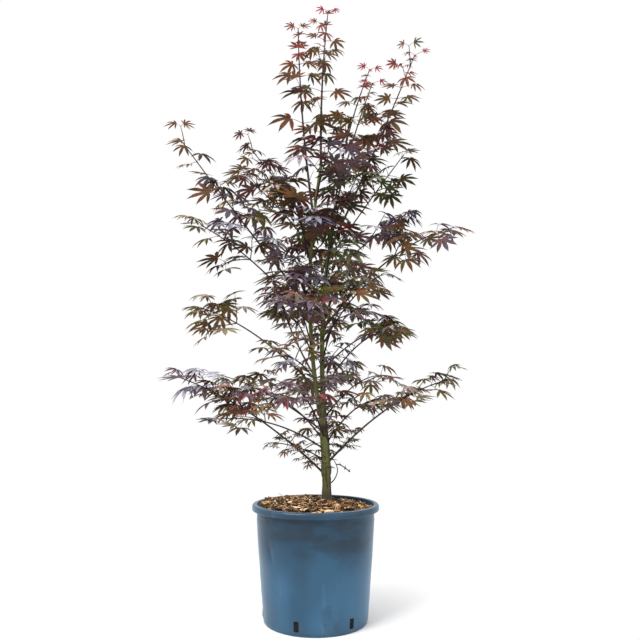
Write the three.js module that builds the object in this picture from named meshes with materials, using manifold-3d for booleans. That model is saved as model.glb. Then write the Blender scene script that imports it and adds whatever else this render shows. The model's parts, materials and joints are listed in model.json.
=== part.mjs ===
// A young Japanese maple with two stems, in a round plastic nursery pot filled with compost and bark.
// Millimetres, +Z up. The origin is the centre of the pot's flat underside, and -Y is the front.
//
// The plant is grown by rule. Every limb is one curve from its parent to its tip. The far end of that
// curve carries pairs of side twigs and leaves, and each twig or leaf is drawn from a seed of its own.
import * as THREE from 'three';
import { mergeVertices } from 'three/addons/utils/BufferGeometryUtils.js';
import Module from 'manifold-3d';

const wasm = await Module();
wasm.setup();

// ---------------------------------------------------------------------------------------------------
// Driving dimensions

const GAP = 0.35; // clearance between solids that meet

const POT = {
  height: 275,
  lipRadius: 150,
  lipHeight: 14,
  lipRoll: 4, // radius of the lip's rounded edges
  wallTopRadius: 140.6, // outside, under the lip
  baseRadius: 124, // outside, above the foot
  footHeight: 5,
  footInset: 1.5, // the foot stands in from the wall, and the step above it is as high
  lipStep: 1, // the wall is this much slimmer where it meets the lip
  wall: 2.4,
  floor: 3,
  facets: 32,
  slots: 6,
  firstSlot: 250, // bearing of the first drainage slot
  slotWidth: 12,
  slotHeight: 24,
  slotBottom: 10,
  slotDepth: 16, // length of the block that cuts one
  slotRun: 8, // how far that block stands out of the wall
};

const COMPOST = {
  edgeHeight: 267, // where the bark meets the pot's wall
  crown: 8, // how far the middle stands above that
  heap: 8, // more on the left, and as much less on the right
  ripple: 1.6,
  rings: 3,
  plugBulge: 2.5, // rooted compost stands out of the slots by this
  seat: 30, // height of the room that is cut for the trunk
};

// Loose chips of bark, set out in a spiral.
const CHIP = {
  count: 13,
  turn: 137.5, // degrees from one chip to the next
  margin: 20, // clear of the pot's wall
  length: 23,
  lengths: [0.6, 1.1], // shortest and longest, as shares of that
  widths: [0.35, 0.6], // as shares of a chip's own length
  depth: 0.28,
  tilt: 0.35, // most radians that it leans
  lift: 0.8, // how far its middle stands above the bark's surface
};

const TRUNK = {
  foot: [27, 42, 268], // a flat cut at the level of the bark
  fork: [12, 27, 526],
  bend: [4, 0, 0],
  // radius at shares of the length: root flare, rootstock, graft, swelling above it, fork
  girth: [[0, 14], [0.06, 12.2], [0.2, 10.7], [0.25, 10.4], [0.3, 11.6], [0.45, 11], [0.8, 9.6], [1, 11]],
  sides: 10,
  rings: 11,
};

// A limb's tip is [bearing, reach, height]: the bearing in degrees, anticlockwise from +X seen from
// above, the reach out from the pot's axis, and the height. Its bend is how far the middle lies off the
// straight line, and its girth is the radius at the foot. The two stems stand side by side on the fork.
const STEMS = [
  { name: 'left_stem', start: [9, 22, 495], tip: [0, 14, 1080], bend: [-25, -4, 0],
    girth: 5.4, tipGirth: 3.1 },
  { name: 'right_stem', start: [20, 32, 495], tip: [46, 69, 985], bend: [-15, 4, 0],
    girth: 6.4, tipGirth: 3.4 },
];

// A dead twig that bears nothing.
const DEAD_TWIG = {
  name: 'dead_twig', parent: 'trunk', foot: 314, tip: [18, 86, 343], bend: [-4, -8, 32],
  girth: 2, tipGirth: 1.3,
};

// The limbs that bear leaves. foot is the height at which one leaves its parent, leafy the share of its
// length at which leaves begin, pairs the number of pairs from there to the tip, twig the length of the
// side twigs and leaf the length of the leaves. Where bough is set, the bare part is a solid of its own.
const LIMBS = [
  // leaders
  { name: 'top_leader', parent: 'left_stem', foot: 1074, tip: [33, 36, 1456], bend: [-6, 0, 0],
    girth: 1.8, leafy: 0.08, pairs: 7, twig: 0, leaf: 66 },
  { name: 'left_leader', parent: 'left_stem', foot: 950, tip: [225, 57, 1366], bend: [-7, 0, 0],
    girth: 2, leafy: 0.26, pairs: 6, twig: 0, leaf: 70, bough: true },
  { name: 'inner_leader', parent: 'right_stem', foot: 960, tip: [24, 146, 1334], bend: [-14, 0, 0],
    girth: 1.8, leafy: 0.2, pairs: 5, twig: 0, leaf: 62 },
  { name: 'front_leader', parent: 'right_stem', foot: 950, tip: [345, 136, 1252], bend: [-8, 0, 0],
    girth: 1.7, leafy: 0.24, pairs: 4, twig: 0, leaf: 64 },
  { name: 'right_leader', parent: 'right_stem', foot: 880, tip: [9, 240, 1366], bend: [4, 0, 0],
    girth: 2.6, leafy: 0.34, pairs: 6, twig: 0, leaf: 64, bough: true },
  // upper tier
  { name: 'left_high', parent: 'left_stem', foot: 922, tip: [156, 176, 1150], bend: [0, 0, 6],
    girth: 1.7, leafy: 0.34, pairs: 3, twig: 40, leaf: 56 },
  { name: 'left_upper', parent: 'left_stem', foot: 880, tip: [200, 176, 1030], bend: [0, 0, 12],
    girth: 1.9, leafy: 0.22, pairs: 4, twig: 60, leaf: 64 },
  { name: 'left_long', parent: 'left_stem', foot: 742, tip: [178, 318, 1160], bend: [0, 0, -6],
    girth: 2.8, leafy: 0.4, pairs: 5, twig: 50, leaf: 60, bough: true },
  { name: 'crown_front', parent: 'left_stem', foot: 985, tip: [286, 110, 1085], bend: [0, 0, 8],
    girth: 1.7, leafy: 0.2, pairs: 4, twig: 56, leaf: 66 },
  { name: 'crown_back', parent: 'right_stem', foot: 940, tip: [64, 158, 1100], bend: [0, 0, 6],
    girth: 1.7, leafy: 0.24, pairs: 3, twig: 54, leaf: 64 },
  { name: 'right_high', parent: 'right_stem', foot: 858, tip: [352, 208, 1090], bend: [0, 0, 4],
    girth: 1.9, leafy: 0.5, pairs: 3, twig: 0, leaf: 50 },
  { name: 'crown_right', parent: 'right_stem', foot: 918, tip: [352, 118, 1085], bend: [0, 0, 4],
    girth: 1.7, leafy: 0.2, pairs: 3, twig: 52, leaf: 60 },
  { name: 'right_upper', parent: 'right_stem', foot: 800, tip: [14, 222, 962], bend: [0, 0, 18],
    girth: 2.2, leafy: 0.36, pairs: 3, twig: 62, leaf: 64, bough: true },
  { name: 'front_high', parent: 'left_stem', foot: 840, tip: [246, 150, 985], bend: [0, 0, 16],
    girth: 1.9, leafy: 0.2, pairs: 4, twig: 66, leaf: 68 },
  { name: 'front_upper', parent: 'right_stem', foot: 800, tip: [288, 162, 930], bend: [0, 0, 18],
    girth: 1.9, leafy: 0.2, pairs: 4, twig: 62, leaf: 68 },
  { name: 'back_upper', parent: 'left_stem', foot: 780, tip: [118, 222, 950], bend: [0, 0, 20],
    girth: 2.2, leafy: 0.34, pairs: 3, twig: 64, leaf: 64, bough: true },
  // middle tier
  { name: 'left_shoulder', parent: 'left_stem', foot: 700, tip: [189, 268, 922], bend: [0, 0, 24],
    girth: 2.4, leafy: 0.42, pairs: 4, twig: 54, leaf: 58, bough: true },
  { name: 'left_inner', parent: 'left_stem', foot: 575, tip: [158, 122, 862], bend: [-12, 0, -4],
    girth: 2.3, leafy: 0.4, pairs: 4, twig: 62, leaf: 64, bough: true },
  { name: 'left_middle', parent: 'left_stem', foot: 545, tip: [168, 292, 748], bend: [0, 0, 28],
    girth: 2.6, leafy: 0.58, pairs: 4, twig: 50, leaf: 60, bough: true },
  { name: 'right_long', parent: 'right_stem', foot: 690, tip: [5, 336, 936], bend: [0, 0, 44],
    girth: 2.7, leafy: 0.44, pairs: 5, twig: 50, leaf: 58, bough: true },
  { name: 'right_drop', parent: 'right_stem', foot: 650, tip: [334, 165, 800], bend: [0, 0, 26],
    girth: 2, leafy: 0.32, pairs: 3, twig: 60, leaf: 64 },
  { name: 'right_middle', parent: 'right_stem', foot: 540, tip: [344, 176, 680], bend: [0, 0, 32],
    girth: 2.2, leafy: 0.48, pairs: 3, twig: 54, leaf: 62, bough: true },
  { name: 'right_shoulder', parent: 'right_stem', foot: 590, tip: [22, 225, 696], bend: [0, 0, 30],
    girth: 2, leafy: 0.4, pairs: 3, twig: 54, leaf: 60 },
  { name: 'front_middle', parent: 'left_stem', foot: 640, tip: [250, 186, 770], bend: [0, 0, 24],
    girth: 2, leafy: 0.24, pairs: 4, twig: 66, leaf: 68 },
  { name: 'front_inner', parent: 'right_stem', foot: 610, tip: [292, 190, 742], bend: [0, 0, 24],
    girth: 1.9, leafy: 0.26, pairs: 3, twig: 62, leaf: 66 },
  { name: 'front_lean', parent: 'left_stem', foot: 566, tip: [232, 150, 612], bend: [0, 0, 22],
    girth: 1.8, leafy: 0.26, pairs: 3, twig: 62, leaf: 64 },
  { name: 'back_middle', parent: 'right_stem', foot: 700, tip: [66, 236, 870], bend: [0, 0, 24],
    girth: 2.2, leafy: 0.36, pairs: 3, twig: 64, leaf: 64, bough: true },
  { name: 'back_inner', parent: 'left_stem', foot: 620, tip: [110, 222, 750], bend: [0, 0, 24],
    girth: 2, leafy: 0.3, pairs: 3, twig: 64, leaf: 64 },
  // lower tier
  { name: 'left_low', parent: 'trunk', foot: 335, tip: [183, 320, 572], bend: [0, 0, 28],
    girth: 2.7, leafy: 0.42, pairs: 5, twig: 62, leaf: 58, bough: true },
  { name: 'left_skirt', parent: 'trunk', foot: 398, tip: [206, 242, 476], bend: [0, 0, 26],
    girth: 2.2, leafy: 0.38, pairs: 4, twig: 54, leaf: 56, bough: true },
  { name: 'left_back', parent: 'trunk', foot: 440, tip: [155, 256, 580], bend: [0, 0, 18],
    girth: 2.3, leafy: 0.36, pairs: 3, twig: 60, leaf: 60 },
  { name: 'right_low', parent: 'trunk', foot: 362, tip: [3, 318, 568], bend: [0, 0, 32],
    girth: 2.7, leafy: 0.42, pairs: 5, twig: 52, leaf: 58, bough: true },
  { name: 'right_skirt', parent: 'trunk', foot: 408, tip: [324, 180, 520], bend: [0, 0, 28],
    girth: 2.2, leafy: 0.34, pairs: 3, twig: 58, leaf: 60 },
  { name: 'front_low', parent: 'trunk', foot: 425, tip: [256, 222, 545], bend: [0, 0, 28],
    girth: 2.2, leafy: 0.28, pairs: 3, twig: 66, leaf: 64 },
  { name: 'back_low', parent: 'trunk', foot: 440, tip: [84, 248, 585], bend: [0, 0, 30],
    girth: 2.3, leafy: 0.36, pairs: 3, twig: 66, leaf: 64, bough: true },
  { name: 'back_left', parent: 'trunk', foot: 415, tip: [124, 232, 525], bend: [0, 0, 28],
    girth: 2.2, leafy: 0.34, pairs: 3, twig: 60, leaf: 62 },
  { name: 'back_right', parent: 'trunk', foot: 470, tip: [44, 238, 585], bend: [0, 0, 26],
    girth: 2, leafy: 0.34, pairs: 3, twig: 60, leaf: 62 },
  { name: 'foot_spray', parent: 'trunk', foot: 372, tip: [198, 100, 420], bend: [0, 0, 8],
    girth: 1.7, leafy: 0.3, pairs: 3, twig: 0, leaf: 30 },
];

const STEM = { sides: 6, rings: 8 };
const BOUGH = { sides: 5, rings: 4 };
const LEAFY_STEM = { sides: 4, rings: 3, tipRadius: 1 };

// How leaves are set along a limb, and how they change from its first pair to its last. A leader is a
// limb that rises steeply: its pairs are set crosswise and its last leaves are the youngest.
const GROWTH = {
  steep: 0.8, // the upward part of a direction above which a limb is a leader
  lean: [46, 66], // degrees between a leaf's stalk and the limb
  twist: 20, // most degrees that a stalk is turned about the limb, off its pair's own line
  lastPair: 0.97, // where the last pair stands, as a share of the limb
  end: { share: 0.99, stalk: 13, size: 0.7, age: 0.4 }, // the single leaf at the limb's end
  leader: { turn: 90, youth: 0.8, sizes: [1.05, 0.5], ease: 2 },
  spreading: { turn: 60, youth: 0.35, sizes: [1.06, 0.86], ease: 1 },
};

// A side twig is a long stalk that ends in a leaf and bears another on its way.
const TWIG = {
  fork: 0.5, // where the other leaf leaves it, as a share of its length
  forkLean: 52, // degrees between that leaf's stalk and the twig
  forkTwist: 30,
  radius: 1.3,
};

// A leaf is a hand of lobes, each [degrees off the middle lobe, share of the leaf's length].
const LEAF = {
  lobes: [[-88, 0.6], [-44, 0.9], [0, 1], [44, 0.9], [88, 0.6]],
  notch: 0.42, // depth of the cuts between the lobes, as that share
  thickness: 1.1,
  arch: 0.2, // how far the lobe tips hang below the hub, as a share of the length
  heel: 140, // degrees off the middle lobe at which the blade meets its stalk
  sizes: [0.86, 1.12], // smallest and largest of the leaves that may grow at one spot
  stalk: [26, 46], // shortest and longest on a full-grown leaf
  youngStalk: 0.4, // the same on the youngest, as a share of that
  stalkRadius: 0.9,
  rootRadius: 0.5, // where the stalk starts, inside the wood
  sag: 0.1, // how far the stalk sinks, as a share of its length
  swing: 24, // most degrees that the blade is turned aside from its stalk
  droop: [0, 36], // degrees that the blade hangs forward
  youngDroop: 0.3, // the same on the youngest, as a share of that
  roll: 30, // most degrees that the blade leans to a side
  tries: 3, // a leaf that touches something is drawn again, and then left out
};

// A leaf belongs to the limb whose curve is nearest, give or take this much.
const SLACK = 11;
const SAMPLES = 9; // points at which each curve is measured

// ---------------------------------------------------------------------------------------------------
// Small helpers

const UP = new THREE.Vector3(0, 0, 1);
const { clamp, degToRad, lerp, mapLinear } = THREE.MathUtils;

// A function that gives the same numbers, between its two arguments, for the same seed.
function sequence(...keys) {
  let state = keys.reduce((sum, key) => (Math.imul(sum, 31) + key + 17) >>> 0, 7);
  return (low, high) => {
    state = (state + 0x6d2b79f5) >>> 0;
    let mix = Math.imul(state ^ (state >>> 15), state | 1);
    mix ^= mix + Math.imul(mix ^ (mix >>> 7), mix | 61);
    return lerp(low, high, ((mix ^ (mix >>> 14)) >>> 0) / 4294967296);
  };
}

// The point at a bearing in degrees, a reach from the axis and a height.
function placeAt([bearing, reach, height]) {
  const angle = degToRad(bearing);
  return new THREE.Vector3(reach * Math.cos(angle), reach * Math.sin(angle), height);
}

// The value at `share` on a polyline of [share, value] pairs.
function alongList(list, share) {
  const next = Math.max(1, list.findIndex(([at]) => at >= share));
  return mapLinear(share, list[next - 1][0], list[next][0], list[next - 1][1], list[next][1]);
}

// A closed geometry as a manifold-3d solid: equal vertices are merged and empty triangles dropped.
function solidOf(geometry) {
  geometry.deleteAttribute('normal');
  geometry.deleteAttribute('uv');
  const merged = mergeVertices(geometry, 1e-3);
  const corners = Array.from(merged.index.array);
  const triangles = [];
  for (let i = 0; i < corners.length; i += 3) {
    const [a, b, c] = corners.slice(i, i + 3);
    if (a !== b && b !== c && c !== a) triangles.push(a, b, c);
  }
  return new wasm.Manifold(new wasm.Mesh({
    numProp: 3,
    vertProperties: merged.getAttribute('position').array,
    triVerts: new Uint32Array(triangles),
  }));
}

// The largest body of a solid. Cutting a limb off at its parent leaves a scrap behind the parent.
function mainBody(solid) {
  return solid.decompose().reduce((best, body) => (body.volume() > best.volume() ? body : best));
}

// ---------------------------------------------------------------------------------------------------
// Limbs

// The curve from a start to an end whose middle lies `bend` off the straight line.
function limbCurve(start, end, bend) {
  const control = start.clone().lerp(end, 0.5).addScaledVector(new THREE.Vector3(...bend), 2);
  return new THREE.QuadraticBezierCurve3(start, control, end);
}

// The share of a rising curve at which it reaches a height.
function shareAtHeight(curve, height) {
  let low = 0;
  let high = 1;
  for (let i = 0; i < 30; i++) {
    const middle = (low + high) / 2;
    if (curve.getPoint(middle).z < height) low = middle;
    else high = middle;
  }
  return low;
}

// A tapering rod along a curve from one share to another, with the radius given at each share.
function rod(curve, from, to, radiusAt, sides, rings) {
  const geometry = new THREE.CylinderGeometry(1, 1, 1, sides, rings);
  const position = geometry.getAttribute('position');
  for (let i = 0; i < position.count; i++) {
    const share = lerp(from, to, position.getY(i) + 0.5);
    const along = curve.getTangent(clamp(share, 0, 1));
    const across = new THREE.Vector3(0.3, 1, 0.2).cross(along).normalize();
    const over = across.clone().cross(along);
    const point = curve.getPoint(share)
      .addScaledVector(across, position.getX(i) * radiusAt(share))
      .addScaledVector(over, position.getZ(i) * radiusAt(share));
    position.setXYZ(i, ...point);
  }
  return solidOf(geometry);
}

// ---------------------------------------------------------------------------------------------------
// The skeleton: every limb's curve and girth, by name

const skeleton = new Map();

skeleton.set('trunk', {
  curve: limbCurve(new THREE.Vector3(...TRUNK.foot), new THREE.Vector3(...TRUNK.fork), TRUNK.bend),
  radiusAt: (share) => alongList(TRUNK.girth, share),
  faceting: TRUNK,
});

for (const stem of STEMS) {
  skeleton.set(stem.name, {
    curve: limbCurve(new THREE.Vector3(...stem.start), placeAt(stem.tip), stem.bend),
    radiusAt: (share) => lerp(stem.girth, stem.tipGirth, share),
    faceting: STEM,
  });
}

for (const limb of [DEAD_TWIG, ...LIMBS]) {
  const parent = skeleton.get(limb.parent).curve;
  const tipGirth = limb.tipGirth ?? LEAFY_STEM.tipRadius;
  skeleton.set(limb.name, {
    curve: limbCurve(parent.getPoint(shareAtHeight(parent, limb.foot)), placeAt(limb.tip), limb.bend),
    radiusAt: (share) => lerp(limb.girth, tipGirth, share),
  });
}

// The trunk or a stem, with its girth and both ends `grow` larger than life.
function woodSolid(name, grow) {
  const { curve, radiusAt, faceting: { sides, rings } } = skeleton.get(name);
  const beyond = grow / curve.getLength();
  const thicker = grow / Math.cos(Math.PI / sides);
  return rod(curve, -beyond, 1 + beyond, (share) => radiusAt(clamp(share, 0, 1)) + thicker, sides, rings);
}

// The trunk leans, so it is drawn from a little below its foot and cut level there.
function trunk() {
  const { curve, radiusAt } = skeleton.get('trunk');
  return rod(curve, -0.02, 1, radiusAt, TRUNK.sides, TRUNK.rings).trimByPlane([0, 0, 1], TRUNK.foot[2]);
}

// A limb's solid between two shares of its curve.
function limbSolid(name, from, to, { sides, rings }) {
  const { curve, radiusAt } = skeleton.get(name);
  return rod(curve, from, to, radiusAt, sides, rings);
}

// A limb's solid cut a gap clear of its parent.
function cutClear(solid, parent) {
  return mainBody(solid.subtract(woodSolid(parent, GAP)));
}

// ---------------------------------------------------------------------------------------------------
// Solids that are in place, and the test that a new one is clear of them

const inPlace = []; // { owner, solid, min, max }

function remember(owner, solid) {
  inPlace.push({ owner, solid, ...solid.boundingBox() });
}

// Whether a solid touches nothing in place, apart from what `passes` lets through.
function isClear(solid, passes) {
  const { min, max } = solid.boundingBox();
  const apart = (other) => [0, 1, 2].some((k) => min[k] > other.max[k] || max[k] < other.min[k]);
  return inPlace.every((other) => passes(other) || apart(other) || solid.intersect(other.solid).isEmpty());
}

// ---------------------------------------------------------------------------------------------------
// Leaves and twigs

// The direction of one of a pair: `lean` degrees off `along`, turned `turn` degrees about it.
function pairAim(along, turn, lean) {
  const side = along.clone().cross(UP);
  if (side.length() < 0.1) side.set(1, 0, 0);
  side.normalize();
  const over = side.clone().cross(along);
  return along.clone().multiplyScalar(Math.cos(degToRad(lean)))
    .addScaledVector(side, Math.sin(degToRad(lean)) * Math.cos(degToRad(turn)))
    .addScaledVector(over, Math.sin(degToRad(lean)) * Math.sin(degToRad(turn)));
}

// Where a leaf hangs. Its stalk leaves `root` along `aim`, and its blade faces up and droops outward.
// `age` runs from 0 on the youngest leaves, which are small and stand up, to 1 on full-grown ones.
function drawLeaf({ root, aim, stalk, size, age, radius }, draw) {
  const hub = root.clone().addScaledVector(aim, stalk).addScaledVector(UP, -LEAF.sag * stalk * age);
  const outward = new THREE.Vector3(aim.x, aim.y, 0).normalize();
  outward.applyAxisAngle(UP, degToRad(draw(-LEAF.swing, LEAF.swing)));
  const droop = degToRad(draw(...LEAF.droop) * lerp(LEAF.youngDroop, 1, age));
  const forward = outward.clone().multiplyScalar(Math.cos(droop)).addScaledVector(UP, -Math.sin(droop));
  const normal = outward.clone().multiplyScalar(Math.sin(droop)).addScaledVector(UP, Math.cos(droop));
  normal.applyAxisAngle(forward, degToRad(draw(-LEAF.roll, LEAF.roll)));
  return { root, hub, forward, normal, radius, size: size * draw(...LEAF.sizes) };
}

// The outline of a leaf from one side of its stalk round to the other, `grow` larger than life.
function leafOutline({ hub, forward, normal, radius, size }, grow) {
  const side = normal.clone().cross(forward);
  const points = [];
  const add = (angle, share) => points.push(hub.clone()
    .addScaledVector(forward, (size * share + grow) * Math.cos(degToRad(angle)))
    .addScaledVector(side, (size * share + grow) * Math.sin(degToRad(angle)))
    .addScaledVector(normal, -size * LEAF.arch * share * share));
  const heel = radius / size;
  add(-LEAF.heel, heel);
  LEAF.lobes.forEach(([angle, share], i) => {
    if (i > 0) add((angle + LEAF.lobes[i - 1][0]) / 2, LEAF.notch);
    add(angle, share);
  });
  add(LEAF.heel, heel);
  return points;
}

// A leaf as one solid: a thin star round the hub, whose heel runs back as a three-sided stalk.
function leafSolid(leaf) {
  const { root, hub, normal, forward, radius } = leaf;
  const ring = leafOutline(leaf, 0);
  const n = ring.length;
  const half = normal.clone().multiplyScalar(LEAF.thickness / 2);
  const reach = hub.clone().sub(root).normalize();
  const side = normal.clone().cross(forward);
  side.addScaledVector(reach, -side.dot(reach)).normalize();
  const over = reach.clone().cross(side);
  const start = (LEAF.rootRadius * radius) / LEAF.stalkRadius;
  const foot = [210, -30, 90].map((angle) => root.clone()
    .addScaledVector(side, start * Math.cos(degToRad(angle)))
    .addScaledVector(over, -start * Math.sin(degToRad(angle))));
  const points = [...ring, hub.clone().add(half), hub.clone().sub(half), ...foot];
  const [t, u, f] = [n, n + 1, n + 2];
  const faces = [[t, n - 1, 0], [f, f + 1, f + 2]];
  for (let i = 0; i + 1 < n; i++) faces.push([t, i, i + 1], [u, i + 1, i]);
  for (const [a, b, c, d] of [[0, n - 1, f, f + 1], [n - 1, u, f + 1, f + 2], [u, 0, f + 2, f]]) {
    faces.push([a, b, d], [a, d, c]);
  }
  return solidOf(geometryOf(points, faces));
}

// The room that a leaf's blade needs: its outline, a little larger and a gap thicker on both faces.
function leafRoom(leaf) {
  const half = leaf.normal.clone().multiplyScalar(LEAF.thickness / 2 + GAP);
  const ring = leafOutline(leaf, 2 * GAP);
  const n = ring.length;
  const points = [half, half.clone().negate()]
    .flatMap((offset) => [...ring, leaf.hub].map((point) => point.clone().add(offset)));
  const faces = [];
  for (let i = 0; i < n; i++) {
    const j = (i + 1) % n;
    const [lowI, lowJ] = [n + 1 + i, n + 1 + j];
    faces.push([n, i, j], [2 * n + 1, lowJ, lowI], [i, lowI, lowJ], [i, lowJ, j]);
  }
  return solidOf(geometryOf(points, faces));
}

function geometryOf(points, faces) {
  return new THREE.BufferGeometry().setFromPoints(points).setIndex(faces.flat());
}

function stalkRoom({ root, hub, radius }) {
  return rod(new THREE.LineCurve3(root, hub), 0, 1, () => radius + GAP, 3, 1);
}

// ---------------------------------------------------------------------------------------------------
// Masses of foliage

const samples = LIMBS.map(({ name, leafy }) => {
  const place = (_, i) => skeleton.get(name).curve.getPoint(lerp(leafy, 1, i / (SAMPLES - 1)));
  return { name, points: Array.from({ length: SAMPLES }, place) };
});

// Whether a point is nearer to a limb's own curve than to any other limb's.
function inOwnSpace(name, point) {
  const distance = ({ points }) => Math.min(...points.map((sample) => sample.distanceTo(point)));
  const own = distance(samples.find((entry) => entry.name === name));
  return samples.every((entry) => entry.name === name || distance(entry) > own - SLACK);
}

// The share of a limb's curve at which its leafy stem starts.
function stemStart({ name, leafy, bough }) {
  return bough ? leafy + GAP / skeleton.get(name).curve.getLength() : 0;
}

// A point on the middle line of a limb's leafy stem, whose solid runs straight from ring to ring.
function onStem(limb, share) {
  const { curve } = skeleton.get(limb.name);
  const start = stemStart(limb);
  const { rings } = LEAFY_STEM;
  const place = ((share - start) / (1 - start)) * rings;
  const ring = Math.min(Math.floor(place), rings - 1);
  const at = (index) => curve.getPoint(lerp(start, 1, index / rings));
  return at(ring).lerp(at(ring + 1), place - ring);
}

// One limb's leafy end: its stem, side twigs and leaves, fused into one solid.
function growMass(limb, number, stem) {
  const owner = `${limb.name}_leaves`;
  const { curve } = skeleton.get(limb.name);
  const pieces = [stem];

  // The leaf that grows at a spot, or null where every turn of it would touch something.
  const growLeaf = (spot, ...keys) => {
    for (let turn = 0; turn < LEAF.tries; turn++) {
      const leaf = drawLeaf(spot, sequence(number, ...keys, turn));
      const stalkIsClear = isClear(stalkRoom(leaf), (other) => other.owner === owner);
      if (stalkIsClear && inOwnSpace(limb.name, leaf.hub) && isClear(leafRoom(leaf), () => false)) {
        pieces.push(leafSolid(leaf));
        remember(owner, pieces.at(-1));
        return leaf;
      }
    }
    return null;
  };

  for (let pair = 0; pair < limb.pairs; pair++) {
    const progress = (pair + 1) / limb.pairs;
    const share = lerp(limb.leafy, GROWTH.lastPair, progress);
    const along = curve.getTangent(share);
    const habit = along.z > GROWTH.steep ? GROWTH.leader : GROWTH.spreading;
    const age = 1 - habit.youth * progress ** habit.ease;
    const size = limb.leaf * lerp(...habit.sizes, progress ** habit.ease);
    for (const hand of [0, 180]) {
      const draw = sequence(number, pair, hand);
      const turn = (pair % 2) * habit.turn + hand + draw(-GROWTH.twist, GROWTH.twist);
      const aim = pairAim(along, turn, draw(...GROWTH.lean));
      const isTwig = pair === 0 && limb.twig > 0;
      const stalk = draw(...LEAF.stalk) * lerp(LEAF.youngStalk, 1, age) + (isTwig ? limb.twig : 0);
      const radius = isTwig ? TWIG.radius : LEAF.stalkRadius;
      const leaf = growLeaf({ root: onStem(limb, share), aim, stalk, size, age, radius }, pair, hand);
      if (leaf && isTwig) {
        const along = leaf.hub.clone().sub(leaf.root).normalize();
        const turn = hand + draw(-TWIG.forkTwist, TWIG.forkTwist);
        const fork = {
          root: leaf.root.clone().lerp(leaf.hub, TWIG.fork),
          aim: pairAim(along, turn, TWIG.forkLean),
          stalk: draw(...LEAF.stalk),
          radius: LEAF.stalkRadius,
        };
        growLeaf({ ...fork, size, age }, pair, hand, 1);
      }
    }
  }
  const { share, stalk, size, age } = GROWTH.end;
  const end = { root: onStem(limb, share), aim: curve.getTangent(1), radius: LEAF.stalkRadius };
  growLeaf({ ...end, stalk, size: size * limb.leaf, age }, limb.pairs);
  return mainBody(wasm.Manifold.union(pieces));
}

// ---------------------------------------------------------------------------------------------------
// Pot and compost

// The pot's inside radius at a height.
function insideRadius(height) {
  return mapLinear(height, POT.floor, POT.height, POT.baseRadius, POT.wallTopRadius) - POT.wall;
}

// A solid of revolution about the vertical axis from a profile of [radius, height] pairs.
function revolved(profile) {
  const points = profile.map(([radius, height]) => new THREE.Vector2(radius, height));
  return solidOf(new THREE.LatheGeometry(points, POT.facets).rotateX(Math.PI / 2));
}

// A block through the wall at drainage slot `index`, smaller than the slot by `inset` on each side,
// that ends `out` beyond the wall.
function slotBlock(index, inset, out) {
  const middle = POT.slotBottom + POT.slotHeight / 2;
  const outside = insideRadius(middle) + POT.wall;
  const block = new THREE.BoxGeometry(POT.slotDepth, POT.slotWidth - 2 * inset, POT.slotHeight - 2 * inset);
  block.translate(outside + out - POT.slotDepth / 2, 0, middle);
  block.rotateZ(degToRad(POT.firstSlot + (360 * index) / POT.slots));
  return solidOf(block);
}

function pot() {
  const lipBottom = POT.height - POT.lipHeight;
  const lipInner = POT.lipRadius - POT.lipRoll;
  const corner = POT.lipRoll * Math.SQRT1_2;
  const body = revolved([
    [0, 0],
    [POT.baseRadius - POT.footInset, 0],
    [POT.baseRadius - POT.footInset, POT.footHeight],
    [POT.baseRadius, POT.footHeight + POT.footInset],
    [POT.wallTopRadius - POT.lipStep, lipBottom],
    [lipInner, lipBottom],
    [lipInner + corner, lipBottom + POT.lipRoll - corner],
    [POT.lipRadius, lipBottom + POT.lipRoll],
    [POT.lipRadius, POT.height - POT.lipRoll],
    [lipInner + corner, POT.height - POT.lipRoll + corner],
    [lipInner, POT.height],
    [insideRadius(POT.height), POT.height],
    [insideRadius(POT.floor), POT.floor],
    [0, POT.floor],
  ]);
  const slots = Array.from({ length: POT.slots }, (_, i) => slotBlock(i, 0, POT.slotRun));
  return slots.reduce((cut, slot) => cut.subtract(slot), body);
}

// The height of the bark's surface at a place in the pot.
function surfaceHeight(x, y) {
  const share = Math.min(1, Math.hypot(x, y) / POT.wallTopRadius);
  const wave = Math.sin(x * 0.11 + 1.3) * Math.cos(y * 0.13) + Math.sin((x + y) * 0.07);
  const slope = (COMPOST.heap * x) / POT.wallTopRadius;
  return COMPOST.edgeHeight + COMPOST.crown * (1 - share * share) - slope + COMPOST.ripple * wave;
}

// Loose bark on the surface, each chip sunk part of its depth.
function barkChips() {
  const draw = sequence(CHIP.count);
  return Array.from({ length: CHIP.count }, (_, i) => {
    const reach = (POT.wallTopRadius - CHIP.margin) * Math.sqrt((i + 0.5) / CHIP.count);
    const at = placeAt([CHIP.turn * i, reach, 0]);
    const length = CHIP.length * draw(...CHIP.lengths);
    const chip = new THREE.BoxGeometry(length, length * draw(...CHIP.widths), length * CHIP.depth);
    chip.rotateX(draw(-CHIP.tilt, CHIP.tilt));
    chip.rotateY(draw(-CHIP.tilt, CHIP.tilt));
    chip.rotateZ(draw(0, Math.PI));
    chip.translate(at.x, at.y, surfaceHeight(at.x, at.y) + CHIP.lift);
    return solidOf(chip);
  });
}

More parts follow.
